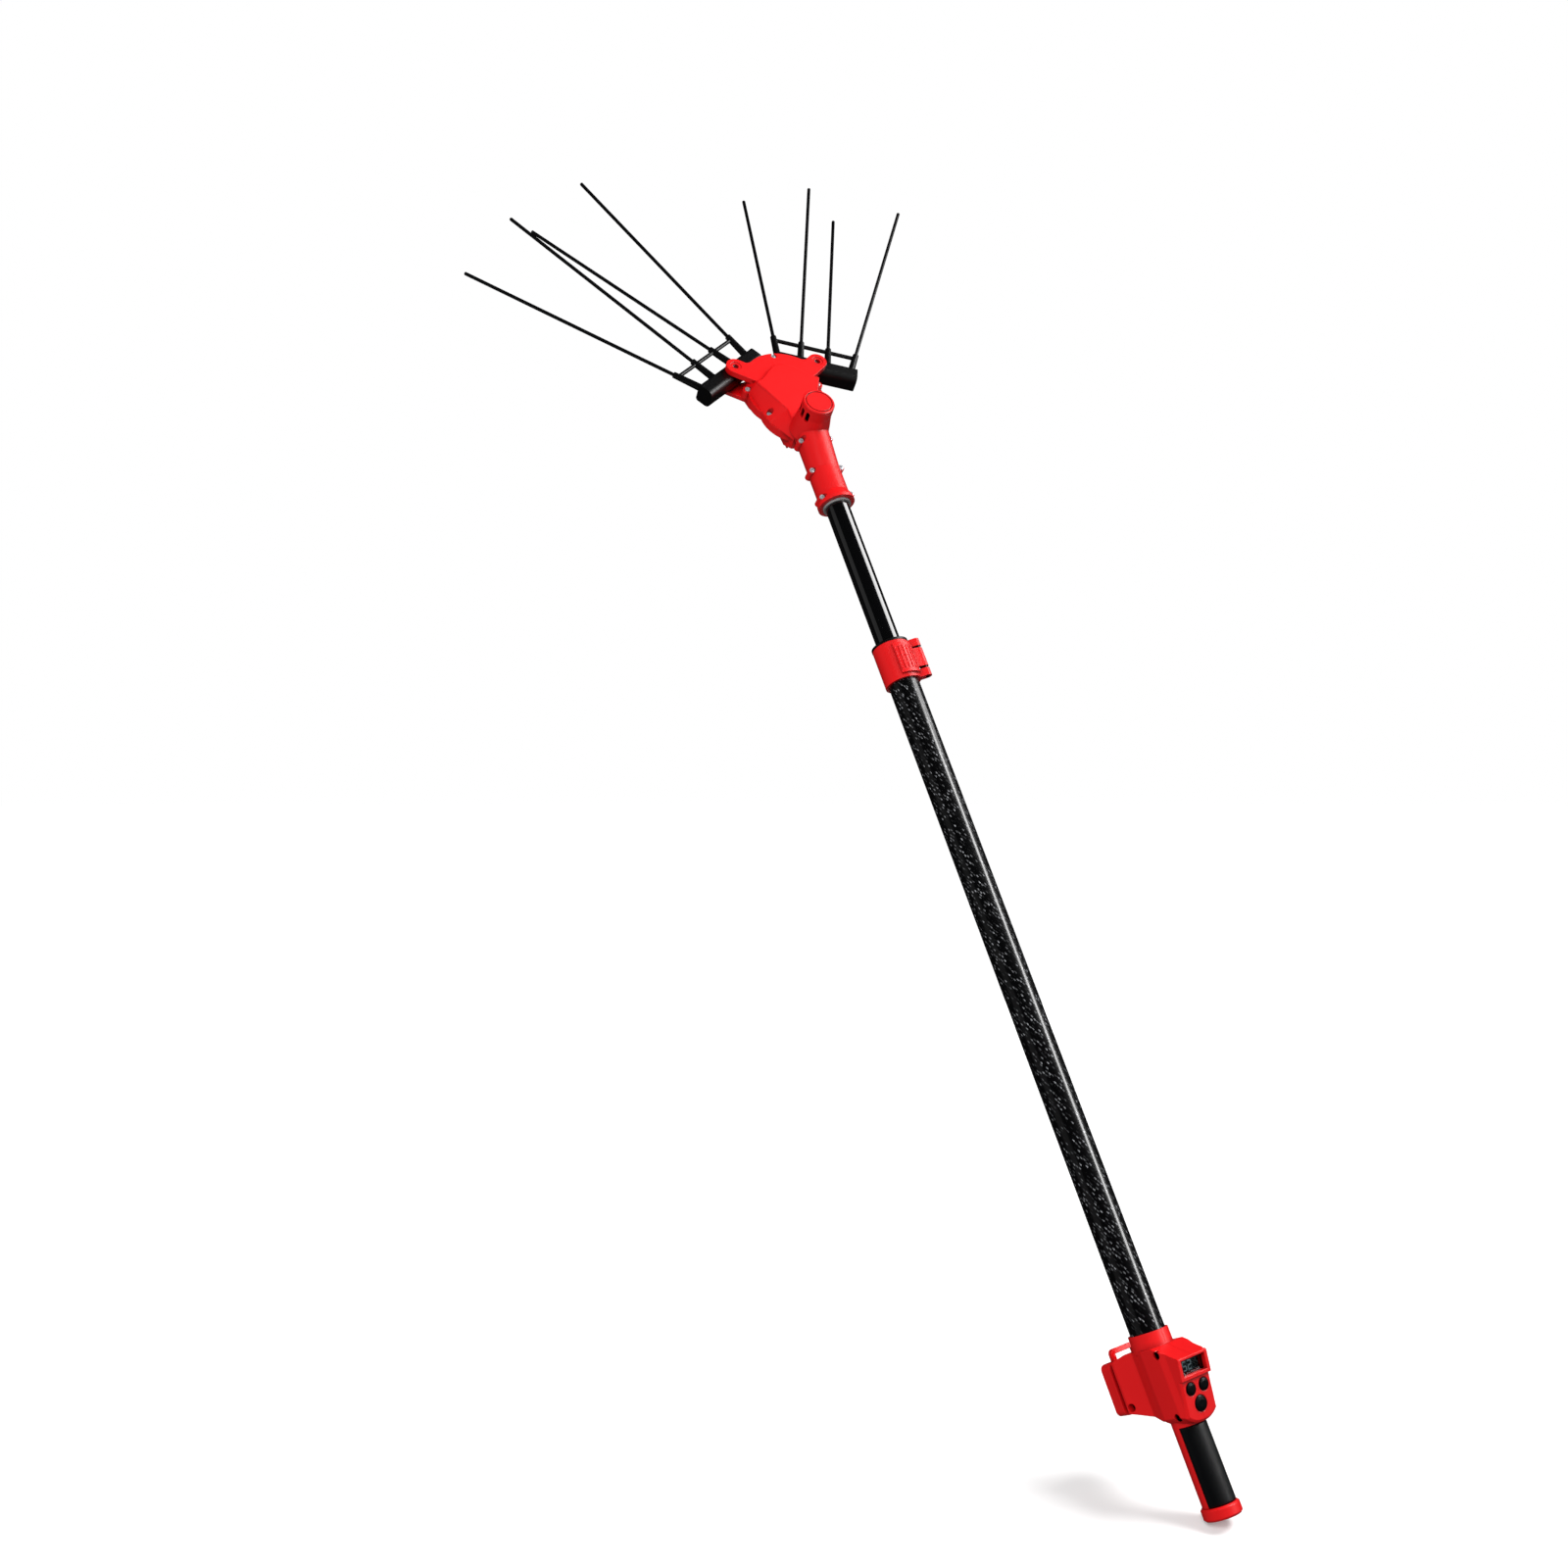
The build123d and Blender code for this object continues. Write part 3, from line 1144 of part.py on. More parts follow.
def yoke(name, side, z, slot_x):
    """Drive yoke: a cross slot round an eccentric bearing and an arm to a comb's tail pin."""
    slot_half_x = ROLLER_R + YOKE_PLAY
    eye = (slot_x + YOKE_REACH, side * TAIL_Y)
    eye_l = 2 * TAIL_PIN_R + EYE_TRAVEL
    eye_w = 2 * TAIL_PIN_R + 2 * RUN + EYE_PLAY
    with BuildPart() as link:
        with BuildSketch(HEAD.offset(z - YOKE_T / 2)):
            with Locations((slot_x + slot_half_x + YOKE_BAR / 2, side * TAIL_Y / 4), eye):
                Circle(TAIL_EYE_R)
            make_hull()
            with Locations((slot_x, 0)):
                Rectangle(2 * (slot_half_x + YOKE_BAR), 2 * YOKE_HALF)
                Rectangle(2 * slot_half_x, 2 * (YOKE_HALF - YOKE_BAR), mode=CUT)
            with Locations(eye):
                SlotOverall(eye_l, eye_w, rotation=90, mode=CUT)
        extrude(amount=YOKE_T)
    save(link, name)


yoke("left_yoke", 1, LEFT_Z, GEAR_X + THROW)
yoke("right_yoke", -1, RIGHT_Z, GEAR_X - THROW)


def comb_plane(side):
    """Frame of a comb on its pivot; the right one is the same part turned over."""
    angle = radians(side * COMB_OPEN + COMB_SWING / 2)
    ahead = HEAD_FRONT * cos(angle) + HEAD.y_dir * sin(angle)
    origin = HEAD.from_local_coords((EAR_X, side * EAR_Y, COMB_Z))
    return Plane(origin=origin, x_dir=ahead, z_dir=HEAD_UP * side)


def tine_plane(comb, index, reach):
    """Plane square to a rod, at distance reach from the pivot along the comb."""
    place = index - (TINES - 1) / 2
    fan = radians((FAN_OUTER if abs(place) > 1 else FAN_INNER) * (1 if place > 0 else -1))
    lean = radians(LEAN if index % 2 == 0 else -LEAN)
    way = Vector(cos(fan) * cos(lean), sin(fan) * cos(lean), sin(lean))
    start = Vector(BAR_X, place * TINE_SPACING, 0) + way * ((reach - BAR_X) / way.X)
    ahead = comb.x_dir * way.X + comb.y_dir * way.Y + comb.z_dir * way.Z
    return Plane(origin=comb.from_local_coords(start), x_dir=comb.z_dir.cross(ahead), z_dir=ahead)


def comb_frame(name, comb):
    """Moulded beam with four sockets, a cross bar and a forked tail."""
    fork = YOKE_T / 2 + GAP
    with BuildPart() as frame:
        beam_end = comb.from_local_coords((0, BEAM_OUT, 0))
        with BuildSketch(Plane(origin=beam_end, x_dir=comb.x_dir, z_dir=-comb.y_dir)) as section:
            with Locations(((BEAM_FRONT - BEAM_BACK) / 2, 0)):
                Rectangle(BEAM_FRONT + BEAM_BACK, BEAM_H)
            fillet(section.vertices().group_by(Axis.X)[0], radius=BEAM_BACK - BEAM_BACK_FLAT)
            fillet(section.vertices().group_by(Axis.X)[-1], radius=BEAM_FRONT_R)
        extrude(amount=BEAM_OUT + BEAM_IN)
        with BuildSketch(comb.offset(YOKE_STEP - fork - WALL)):
            with Locations((-TAIL_BACK, -TAIL_IN), (0, -TAIL_IN)):
                Circle(TAIL_EYE_R)
            make_hull()
        extrude(amount=2 * (fork + WALL))
        with BuildSketch(comb.offset(YOKE_STEP - fork)):
            with Locations((-TAIL_BACK, -TAIL_IN)):
                Circle(2 * TAIL_EYE_R)
        extrude(amount=2 * fork, mode=CUT)
        with BuildSketch(comb.offset(-BEAM_H / 2)):
            Circle(PIVOT_BUSH_R + RUN)
            with Locations((-TAIL_BACK, -TAIL_IN)):
                Circle(TAIL_PIN_R + RUN)
        extrude(amount=BEAM_H, mode=CUT)
        for index in range(TINES):
            root = tine_plane(comb, index, BEAM_FRONT - WALL)
            socket_l = (tine_plane(comb, index, SOCKET_TIP).origin - root.origin).length
            with Locations(root):
                Cone(SOCKET_ROOT_R, SOCKET_TIP_R, socket_l, align=(Align.CENTER, Align.CENTER, Align.MIN))
        bar_half = (TINES - 1) / 2 * TINE_SPACING
        with BuildSketch(Plane(origin=comb.from_local_coords((BAR_X, -bar_half, 0)), z_dir=comb.y_dir)):
            Circle(BAR_R)
        extrude(amount=2 * bar_half)
        for index in range(TINES):
            with BuildSketch(tine_plane(comb, index, TINE_ROOT)):
                Circle(TINE_R + RUN)
            extrude(amount=2 * SOCKET_TIP, mode=CUT)
    save(frame, name)


for side, word in ((1, "left"), (-1, "right")):
    comb = comb_plane(side)
    comb_frame(f"{word}_comb_frame", comb)
    for index in range(TINES):
        with BuildPart() as tine:
            with BuildSketch(tine_plane(comb, index, TINE_ROOT + RUN)):
                Circle(TINE_R)
            extrude(amount=BAR_X - TINE_ROOT + TINE_L)
            chamfer(tine.faces().sort_by(Axis(comb.origin, comb.x_dir))[-1].edges(), length=TINE_R / 2)
        save(tine, f"{word}_tine_{index + 1}")
    with BuildPart() as pivot_bush:
        with BuildSketch(comb.offset(-BEAM_H / 2)):
            Circle(PIVOT_BUSH_R)
            Circle(PIVOT_R + RUN, mode=CUT)
        extrude(amount=BEAM_H)
    save(pivot_bush, f"{word}_pivot_bush")
    with BuildPart() as tail_pin:
        with BuildSketch(comb.offset(YOKE_STEP - YOKE_T / 2 - GAP - WALL)):
            with Locations((-TAIL_BACK, -TAIL_IN)):
                Circle(TAIL_PIN_R)
        extrude(amount=YOKE_T + 2 * GAP + 2 * WALL)
    save(tail_pin, f"{word}_tail_pin")
    with BuildPart() as pivot_pin:
        rounds(BASE_Z, EAR_TOP - PIN_SINK - BASE_Z, PIVOT_R, (EAR_X, side * EAR_Y))
    save(pivot_pin, f"{word}_pivot_pin")
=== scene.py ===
"""Looks of the telescopic comb harvester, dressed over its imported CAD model."""

import json
from math import cos, pi, radians, sin, sqrt

import bpy
from mathutils import Matrix, Vector


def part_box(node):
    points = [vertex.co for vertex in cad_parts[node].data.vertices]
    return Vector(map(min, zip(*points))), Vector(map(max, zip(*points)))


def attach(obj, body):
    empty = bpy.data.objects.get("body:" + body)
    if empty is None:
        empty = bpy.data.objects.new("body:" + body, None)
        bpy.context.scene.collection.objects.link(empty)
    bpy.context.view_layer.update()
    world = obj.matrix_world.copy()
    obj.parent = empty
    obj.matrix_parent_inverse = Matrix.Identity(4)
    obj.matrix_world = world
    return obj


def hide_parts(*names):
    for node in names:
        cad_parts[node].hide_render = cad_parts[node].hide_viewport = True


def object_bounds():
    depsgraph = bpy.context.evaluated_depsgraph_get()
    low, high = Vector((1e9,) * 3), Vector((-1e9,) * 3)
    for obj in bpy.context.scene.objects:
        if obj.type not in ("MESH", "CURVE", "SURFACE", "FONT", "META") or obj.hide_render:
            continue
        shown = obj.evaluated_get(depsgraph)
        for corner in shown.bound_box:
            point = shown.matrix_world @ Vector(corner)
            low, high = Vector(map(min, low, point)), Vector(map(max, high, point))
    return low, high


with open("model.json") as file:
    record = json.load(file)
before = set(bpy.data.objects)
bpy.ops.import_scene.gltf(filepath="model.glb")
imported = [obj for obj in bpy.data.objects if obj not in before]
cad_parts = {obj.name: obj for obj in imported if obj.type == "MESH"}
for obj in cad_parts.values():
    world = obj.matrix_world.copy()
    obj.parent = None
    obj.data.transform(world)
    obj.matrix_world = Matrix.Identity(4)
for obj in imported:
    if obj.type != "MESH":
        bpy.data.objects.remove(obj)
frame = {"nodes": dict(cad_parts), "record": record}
cad_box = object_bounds()
nodes = frame["nodes"]
scene = bpy.context.scene
MM = 0.001


def linear(hex_colour):
    """An sRGB hex colour as linear RGBA."""
    channels = [int(hex_colour[i:i + 2], 16) / 255 for i in (1, 3, 5)]
    return [c / 12.92 if c <= 0.04045 else ((c + 0.055) / 1.055) ** 2.4 for c in channels] + [1.0]


def add_node(tree, kind, inputs=None, **settings):
    """Add a node, set its properties, and fill its inputs with values or links."""
    made = tree.nodes.new(kind)
    for name, value in settings.items():
        setattr(made, name, value)
    for name, value in (inputs or {}).items():
        if isinstance(value, bpy.types.NodeSocket):
            tree.links.new(value, made.inputs[name])
        else:
            made.inputs[name].default_value = value
    return made


# Places of the factor, the two colours and the result on a colour mix
FACTOR, FIRST, SECOND, MIXED = 0, 6, 7, 2


def new_material(name, **shader_inputs):
    """A material with one shader, its node tree, and that shader."""
    material = bpy.data.materials.new(name)
    material.use_nodes = True
    tree = material.node_tree
    tree.nodes.clear()
    shader = add_node(tree, "ShaderNodeBsdfPrincipled")
    for socket, value in shader_inputs.items():
        shader.inputs[socket.replace("_", " ")].default_value = value
    add_node(tree, "ShaderNodeOutputMaterial", {"Surface": shader.outputs["BSDF"]})
    return material, tree, shader


# Moulded surfaces
FLOW_WIDTH = 60 * MM  # of the faint marks left by the flow in the mould
CORNER_SHADE_REACH = 7 * MM  # how far from a wall the painted shade in corners reaches
GRAIN_RUB = 0.07  # roughness that the grain adds and takes away
GRAIN_STRENGTH = 0.5
FEELERS = 8  # rays that look for corners and edges


def moulded(name, light, deep, corner, roughness, grain, depth, edge):
    """Moulded plastic or rubber: even colour, painted shade in its corners, a sparked grain in mm, and broken
    edges.
    """
    material, tree, shader = new_material(name)
    place = add_node(tree, "ShaderNodeTexCoord").outputs["Object"]
    flow = add_node(tree, "ShaderNodeTexNoise", {"Vector": place, "Scale": 1 / FLOW_WIDTH, "Detail": 2.0})
    spark = add_node(tree, "ShaderNodeTexNoise", {"Vector": place, "Scale": 1 / (grain * MM), "Detail": 3.0})
    tint = add_node(
        tree,
        "ShaderNodeMix",
        {FACTOR: flow.outputs["Fac"], FIRST: linear(deep), SECOND: linear(light)},
        data_type="RGBA",
    )
    # Painted shade: the corner colour darkens the surface where walls close in, as shade would
    corner_occlusion = add_node(tree, "ShaderNodeAmbientOcclusion", {"Distance": CORNER_SHADE_REACH}, samples=FEELERS)
    corner_shaded = add_node(
        tree,
        "ShaderNodeMix",
        {FACTOR: corner_occlusion.outputs["AO"], FIRST: linear(corner), SECOND: tint.outputs[MIXED]},
        data_type="RGBA",
    )
    rub = add_node(
        tree,
        "ShaderNodeMapRange",
        {"Value": spark.outputs["Fac"], "To Min": roughness - GRAIN_RUB, "To Max": roughness + GRAIN_RUB},
    )
    broken = add_node(tree, "ShaderNodeBevel", {"Radius": edge * MM}, samples=FEELERS)
    bump = add_node(
        tree,
        "ShaderNodeBump",
        {
            "Height": spark.outputs["Fac"],
            "Distance": depth * MM,
            "Strength": GRAIN_STRENGTH,
            "Normal": broken.outputs["Normal"],
        },
    )
    tree.links.new(corner_shaded.outputs[MIXED], shader.inputs["Base Color"])
    tree.links.new(rub.outputs["Result"], shader.inputs["Roughness"])
    tree.links.new(bump.outputs["Normal"], shader.inputs["Normal"])
    return material


# Machined surfaces
LINE_SHARE = 0.05  # width of a line over its length
LINE_RUB = 0.1  # roughness that the lines add and take away
LINE_DEPTH = 0.01 * MM
LINE_STRENGTH = 0.4


def machined(name, light, deep, roughness, line, metallic=1.0):
    """Turned, drawn or plated metal: fine lines in mm that spread the highlights one way."""
    material, tree, shader = new_material(name, Metallic=metallic)
    place = add_node(tree, "ShaderNodeTexCoord").outputs["Object"]
    stretched = add_node(tree, "ShaderNodeMapping", {"Vector": place, "Scale": (LINE_SHARE, 1.0, 1.0)})
    lines = add_node(
        tree,
        "ShaderNodeTexNoise",
        {"Vector": stretched.outputs["Vector"], "Scale": 1 / (line * MM), "Detail": 4.0},
    )
    tint = add_node(
        tree,
        "ShaderNodeMix",
        {FACTOR: lines.outputs["Fac"], FIRST: linear(deep), SECOND: linear(light)},
        data_type="RGBA",
    )
    rub = add_node(
        tree,
        "ShaderNodeMapRange",
        {"Value": lines.outputs["Fac"], "To Min": roughness - LINE_RUB, "To Max": roughness + LINE_RUB},
    )
    bump = add_node(
        tree,
        "ShaderNodeBump",
        {"Height": lines.outputs["Fac"], "Distance": LINE_DEPTH, "Strength": LINE_STRENGTH},
    )
    tree.links.new(tint.outputs[MIXED], shader.inputs["Base Color"])
    tree.links.new(rub.outputs["Result"], shader.inputs["Roughness"])
    tree.links.new(bump.outputs["Normal"], shader.inputs["Normal"])
    return material


# Weave of the outer tube. Real tows are about 2 mm wide; these are drawn about 3.5 mm wide, so that they show
# from a step away. The glints are painted highlights, and their sizes are shares of a tow.
TOWS_ROUND = 30
TOW_STEEPNESS = 0.55  # way round the tube over the way along it
GLINT_STRAY = 0.6  # whole spread of the glints about the middles of the crossings
GLINT_STRETCH = (0.7, 1.9, 0.0)
GLINT_EDGE = 0.46
GLINT_CORE = 0.12
GLINT_RARITY = 5.0  # the higher, the fewer bright ones


def woven_carbon(tube_radius):
    """Woven carbon under clear lacquer: black, with slanted rows of painted grey glints where tows come up.
    """
    material, tree, shader = new_material(
        "lacquered_woven_carbon", Roughness=0.4, Specular_IOR_Level=0.1, Coat_Weight=1.0, Coat_Roughness=0.19
    )
    place = add_node(tree, "ShaderNodeTexCoord").outputs["Object"]
    axes = add_node(tree, "ShaderNodeSeparateXYZ", {"Vector": place})
    turn = add_node(
        tree, "ShaderNodeMath", {0: axes.outputs["Y"], 1: axes.outputs["Z"]}, operation="ARCTAN2"
    )
    around = add_node(
        tree, "ShaderNodeMath", {0: turn.outputs[0], 1: TOWS_ROUND / (2 * pi)}, operation="MULTIPLY"
    )
    along = add_node(
        tree,
        "ShaderNodeMath",
        {0: axes.outputs["X"], 1: TOW_STEEPNESS * TOWS_ROUND / (2 * pi * tube_radius)},
        operation="MULTIPLY",
    )
    warp = add_node(tree, "ShaderNodeMath", {0: around.outputs[0], 1: along.outputs[0]}, operation="ADD")
    weft = add_node(
        tree, "ShaderNodeMath", {0: around.outputs[0], 1: along.outputs[0]}, operation="SUBTRACT"
    )
    weave = add_node(tree, "ShaderNodeCombineXYZ", {"X": warp.outputs[0], "Y": weft.outputs[0]})
    crossing = add_node(tree, "ShaderNodeVectorMath", {0: weave.outputs[0]}, operation="FLOOR")
    within = add_node(tree, "ShaderNodeVectorMath", {0: weave.outputs[0]}, operation="FRACTION")
    chance = add_node(tree, "ShaderNodeTexWhiteNoise", {"Vector": crossing.outputs[0]})
    to_middle = -0.5 - GLINT_STRAY / 2
    astray = add_node(
        tree,
        "ShaderNodeVectorMath",
        {
            0: chance.outputs["Color"],
            1: (GLINT_STRAY, GLINT_STRAY, 0.0),
            2: (to_middle, to_middle, 0.0),
        },
        operation="MULTIPLY_ADD",
    )
    centred = add_node(
        tree, "ShaderNodeVectorMath", {0: within.outputs[0], 1: astray.outputs[0]}, operation="ADD"
    )
    drawn_out = add_node(
        tree, "ShaderNodeVectorMath", {0: centred.outputs[0], 1: GLINT_STRETCH}, operation="MULTIPLY"
    )
    reach = add_node(tree, "ShaderNodeVectorMath", {0: drawn_out.outputs[0]}, operation="LENGTH")
    glint = add_node(
        tree,
        "ShaderNodeMapRange",
        {"Value": reach.outputs["Value"], "From Min": GLINT_EDGE, "From Max": GLINT_CORE},
    )
    uneven = add_node(
        tree, "ShaderNodeMath", {0: chance.outputs["Value"], 1: GLINT_RARITY}, operation="POWER"
    )
    shown = add_node(
        tree, "ShaderNodeMath", {0: glint.outputs[0], 1: uneven.outputs[0]}, operation="MULTIPLY"
    )
    # Painted highlight: the glints are grey in the base colour
    tint = add_node(
        tree,
        "ShaderNodeMix",
        {FACTOR: shown.outputs[0], FIRST: linear("#040405"), SECOND: linear("#A4A6AA")},
        data_type="RGBA",
    )
    tree.links.new(tint.outputs[MIXED], shader.inputs["Base Color"])
    return material


DRAW_WIDTH = 3 * MM  # of the faint marks along the drawn inner tube
DRAW_SHARE = 0.02  # width of a mark over its length


def lacquered_tube():
    """Drawn tube under black gloss lacquer: a deep black that mirrors a lamp as one hard stripe."""
    material, tree, shader = new_material(
        "black_gloss_lacquer",
        Base_Color=linear("#030304"),
        Coat_Weight=1.0,
        Coat_IOR=1.8,
        Coat_Roughness=0.03,
    )
    place = add_node(tree, "ShaderNodeTexCoord").outputs["Object"]
    stretched = add_node(tree, "ShaderNodeMapping", {"Vector": place, "Scale": (DRAW_SHARE, 1.0, 1.0)})
    drawn = add_node(
        tree,
        "ShaderNodeTexNoise",
        {"Vector": stretched.outputs["Vector"], "Scale": 1 / DRAW_WIDTH, "Detail": 2.0},
    )
    rub = add_node(
        tree, "ShaderNodeMapRange", {"Value": drawn.outputs["Fac"], "To Min": 0.1, "To Max": 0.22}
    )
    tree.links.new(rub.outputs["Result"], shader.inputs["Roughness"])
    return material


HAZE_WIDTH = 4 * MM


def smoked_window():
    """Smoked acrylic window: see-through and slightly dark, with clear reflections and a faint haze."""
    material, tree, shader = new_material(
        "smoked_acrylic", Base_Color=linear("#646C6F"), Transmission_Weight=1.0, IOR=1.49
    )
    place = add_node(tree, "ShaderNodeTexCoord").outputs["Object"]
    haze = add_node(tree, "ShaderNodeTexNoise", {"Vector": place, "Scale": 1 / HAZE_WIDTH})
    rub = add_node(
        tree, "ShaderNodeMapRange", {"Value": haze.outputs["Fac"], "To Min": 0.01, "To Max": 0.05}
    )
    tree.links.new(rub.outputs["Result"], shader.inputs["Roughness"])
    return material


DOT_WIDTH = 0.5 * MM  # real dots are about 0.2 mm; these are coarser, so that they show in a close view


def liquid_crystal(name, dim, bright):
    """Liquid crystal that glows: a faint backlight, which is also painted light in place of the lamp light
    that the window keeps off it, broken into small square dots.
    """
    material, tree, shader = new_material(
        name, Base_Color=linear("#0A0C0D"), Roughness=0.3, Emission_Strength=1.4
    )
    place = add_node(tree, "ShaderNodeTexCoord").outputs["Object"]
    dots = add_node(tree, "ShaderNodeTexChecker", {"Vector": place, "Scale": 1 / DOT_WIDTH})
    tint = add_node(
        tree,
        "ShaderNodeMix",
        {FACTOR: dots.outputs["Fac"], FIRST: linear(dim), SECOND: linear(bright)},
        data_type="RGBA",
    )
    tree.links.new(tint.outputs[MIXED], shader.inputs["Emission Color"])
    return material


TRACK_SPACING = 12 * MM
TRACK_SHARE = 0.03  # width of a track over that spacing


def circuit_board():
    """Solder mask over copper: green with slightly lighter tracks."""
    material, tree, shader = new_material("green_solder_mask", Roughness=0.35)
    place = add_node(tree, "ShaderNodeTexCoord").outputs["Object"]
    tracks = add_node(
        tree,
        "ShaderNodeTexBrick",
        {"Vector": place, "Scale": 1 / TRACK_SPACING, "Mortar Size": TRACK_SHARE},
    )
    tint = add_node(
        tree,
        "ShaderNodeMix",
        {FACTOR: tracks.outputs["Fac"], FIRST: linear("#12522A"), SECOND: linear("#2C7A46")},
        data_type="RGBA",
    )
    tree.links.new(tint.outputs[MIXED], shader.inputs["Base Color"])
    return material


# Finishes by their slots in the record. A moulded one has a light, a deep and a painted corner-shade colour,
# a roughness, then the grain's width, its depth and the edges' radius in mm.
# Red, deep red, and the painted shade in the red's corners
RED = ("#E60B10", "#DA080C", "#640306")
_, tube_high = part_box("outer_tube")
finishes = {
    # Red glass-filled nylon, sparked in the mould: a strong red with a soft satin sheen
    "red_nylon": moulded("moulded_red_nylon", *RED, 0.42, 0.8, 0.008, 1.3),
    # The same red on the ribbed clamp, whose edges are too fine to be broken
    "red_ribs": moulded("moulded_red_ribs", *RED, 0.42, 0.8, 0.004, 0.1),
    # Black glass-filled nylon: near black, with a dull light along its edges
    "black_nylon": moulded("moulded_black_nylon", "#09090A", "#050506", "#010101", 0.4, 1.0, 0.03, 0.6),
    # Pultruded glass-fibre rod: black, a little smoother than the mouldings
    "tine_rod": moulded("pultruded_black_rod", "#08080A", "#040405", "#010101", 0.36, 1.0, 0.03, 0.3),
    # Thermoplastic rubber over the grip: matt and near black, without a hard highlight
    "soft_grip": moulded("soft_moulded_rubber", "#090A0C", "#050608", "#010102", 0.5, 0.9, 0.08, 0.4),
    # Silicone rubber of the buttons: black, with a small soft highlight on each dome
    "button_rubber": moulded("silicone_rubber", "#060607", "#040405", "#010101", 0.3, 0.8, 0.02, 0.4),
    # Pale grey nylon ring at the neck: a thin light line beside the black tube
    "grey_ring": moulded("moulded_grey_nylon", "#A6A6A6", "#989898", "#303030", 0.45, 1.0, 0.04, 0.4),
    # Black display frame: dark behind the window, so that only its figures show
    "display_module": moulded("black_display_frame", "#040405", "#030303", "#010101", 0.3, 1.0, 0.02, 0.2),
    # Black oxide on the handle's screws: dark, with a dull metal glint
    "black_screw": machined("black_oxide_steel", "#1B1B1D", "#0C0C0D", 0.38, 0.4),
    # Oiled steel of pins: dark grey metal
    "dark_steel": machined("oiled_dark_steel", "#3A3A3D", "#242426", 0.35, 0.4),
    # Dulled zinc plating on the head's screws: pale silver that stays light on every side
    "zinc_screw": machined("zinc_plated_steel", "#DDE0E4", "#B4B8BE", 0.36, 0.5, metallic=0.55),
    # Dark grey motor can: painted shade that keeps the tower's vents dark
    "motor_steel": machined("dark_motor_can_for_vent_shade", "#2A2B2D", "#1B1C1D", 0.4, 0.6),
    # Bright steel of shafts, gears and bearings: clear, slightly streaked reflections
    "steel": machined("turned_steel", "#C2C4C8", "#9A9CA2", 0.3, 0.4),
    # Sintered bronze bushes: warm and slightly dull
    "bush_bronze": machined("sintered_bronze", "#C09A5A", "#A57F45", 0.45, 0.5),
    # Brass contacts: bright yellow metal
    "contact_brass": machined("bright_brass", "#E2BE6A", "#C9A04E", 0.25, 0.4),
    "carbon_tube": woven_carbon(tube_high.y),
    "black_tube": lacquered_tube(),
    "display_window": smoked_window(),
    "circuit_board": circuit_board(),
    "display_pane": liquid_crystal("grey_liquid_crystal", "#1E2628", "#283234"),
    "display_figure": liquid_crystal("pale_liquid_crystal", "#B4C2C4", "#CCD8DA"),
}
for row in frame["record"]["subparts"]:
    piece = nodes[row["node"]]
    piece.data.materials.clear()
    piece.data.materials.append(finishes[row["material_slot"]])
for node in ("clamp_collar", "clamp_lever"):
    nodes[node].data.materials[0] = finishes["red_ribs"]


def dressed(name, vertices, faces, finish, body, smooth=False, replaced=None):
    """A piece of its own with a finish, riding on a body."""
    mesh = bpy.data.meshes.new(name)
    mesh.from_pydata([tuple(v) for v in vertices], [], faces)
    mesh.polygons.foreach_set("use_smooth", [smooth] * len(faces))
    mesh.materials.append(finishes[finish])
    piece = bpy.data.objects.new(name, mesh)
    scene.collection.objects.link(piece)
    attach(piece, body)
    if replaced:
        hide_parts(replaced)
    return piece


def wrap_faces(rings, width, start=0):
    """Faces between closed rings of points that follow each other."""
    return [
        (
            start + r * width + c,
            start + (r + 1) * width + c,
            start + (r + 1) * width + (c + 1) % width,
            start + r * width + (c + 1) % width,
        )
        for r in range(rings - 1)
        for c in range(width)
    ]


ROLL_STEPS = 6  # over each rolled edge


def spread(start, end, fine, count):
    """Places from start to end, closer over a fine stretch at both ends, which come twice for their walls."""
    edge = [start + fine * (1 - cos(pi / 2 * i / ROLL_STEPS)) for i in range(ROLL_STEPS)]
    inner = [start + fine + (end - start - 2 * fine) * i / count for i in range(count + 1)]
    return [start] + edge + inner + [start + end - x for x in reversed(edge)] + [end]


# Soft grip sleeve: a padded arc with rolled edges
PAD_EDGE = radians(10)  # above the horizontal
PAD_T = 2.5 * MM
PAD_ROLL = 2.0 * MM
PAD_STEPS_ALONG = 24
PAD_STEPS_ROUND = 32
pad_low, pad_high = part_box("grip_pad")
pad_radius = pad_high.y / cos(PAD_EDGE)
pad_inside = pad_radius - PAD_T
pad_axis_z = pad_high.z - pad_radius
pad_xs = spread(pad_low.x, pad_high.x, PAD_ROLL, PAD_STEPS_ALONG)
pad_turns = spread(PAD_EDGE, pi - PAD_EDGE, PAD_ROLL / pad_radius, PAD_STEPS_ROUND)
pad_points = []
for i, x in enumerate(pad_xs):
    for j, turn in enumerate(pad_turns):
        reach = min(x - pad_low.x, pad_high.x - x, (min(turn, pi - turn) - PAD_EDGE) * pad_radius)
        rolled = max(0.0, PAD_ROLL - reach)
        radius = pad_radius - PAD_ROLL + sqrt(max(0.0, PAD_ROLL ** 2 - rolled ** 2))
        if i in (0, len(pad_xs) - 1) or j in (0, len(pad_turns) - 1):
            radius = pad_inside
        pad_points.append((x, radius * cos(turn), pad_axis_z + radius * sin(turn)))
    for turn in reversed(pad_turns[1:-1]):
        pad_points.append((x, pad_inside * cos(turn), pad_axis_z + pad_inside * sin(turn)))
pad_faces = wrap_faces(len(pad_xs), 2 * len(pad_turns) - 2)
grip = dressed("grip_sleeve", pad_points, pad_faces, "soft_grip", "handle", True, "grip_pad")


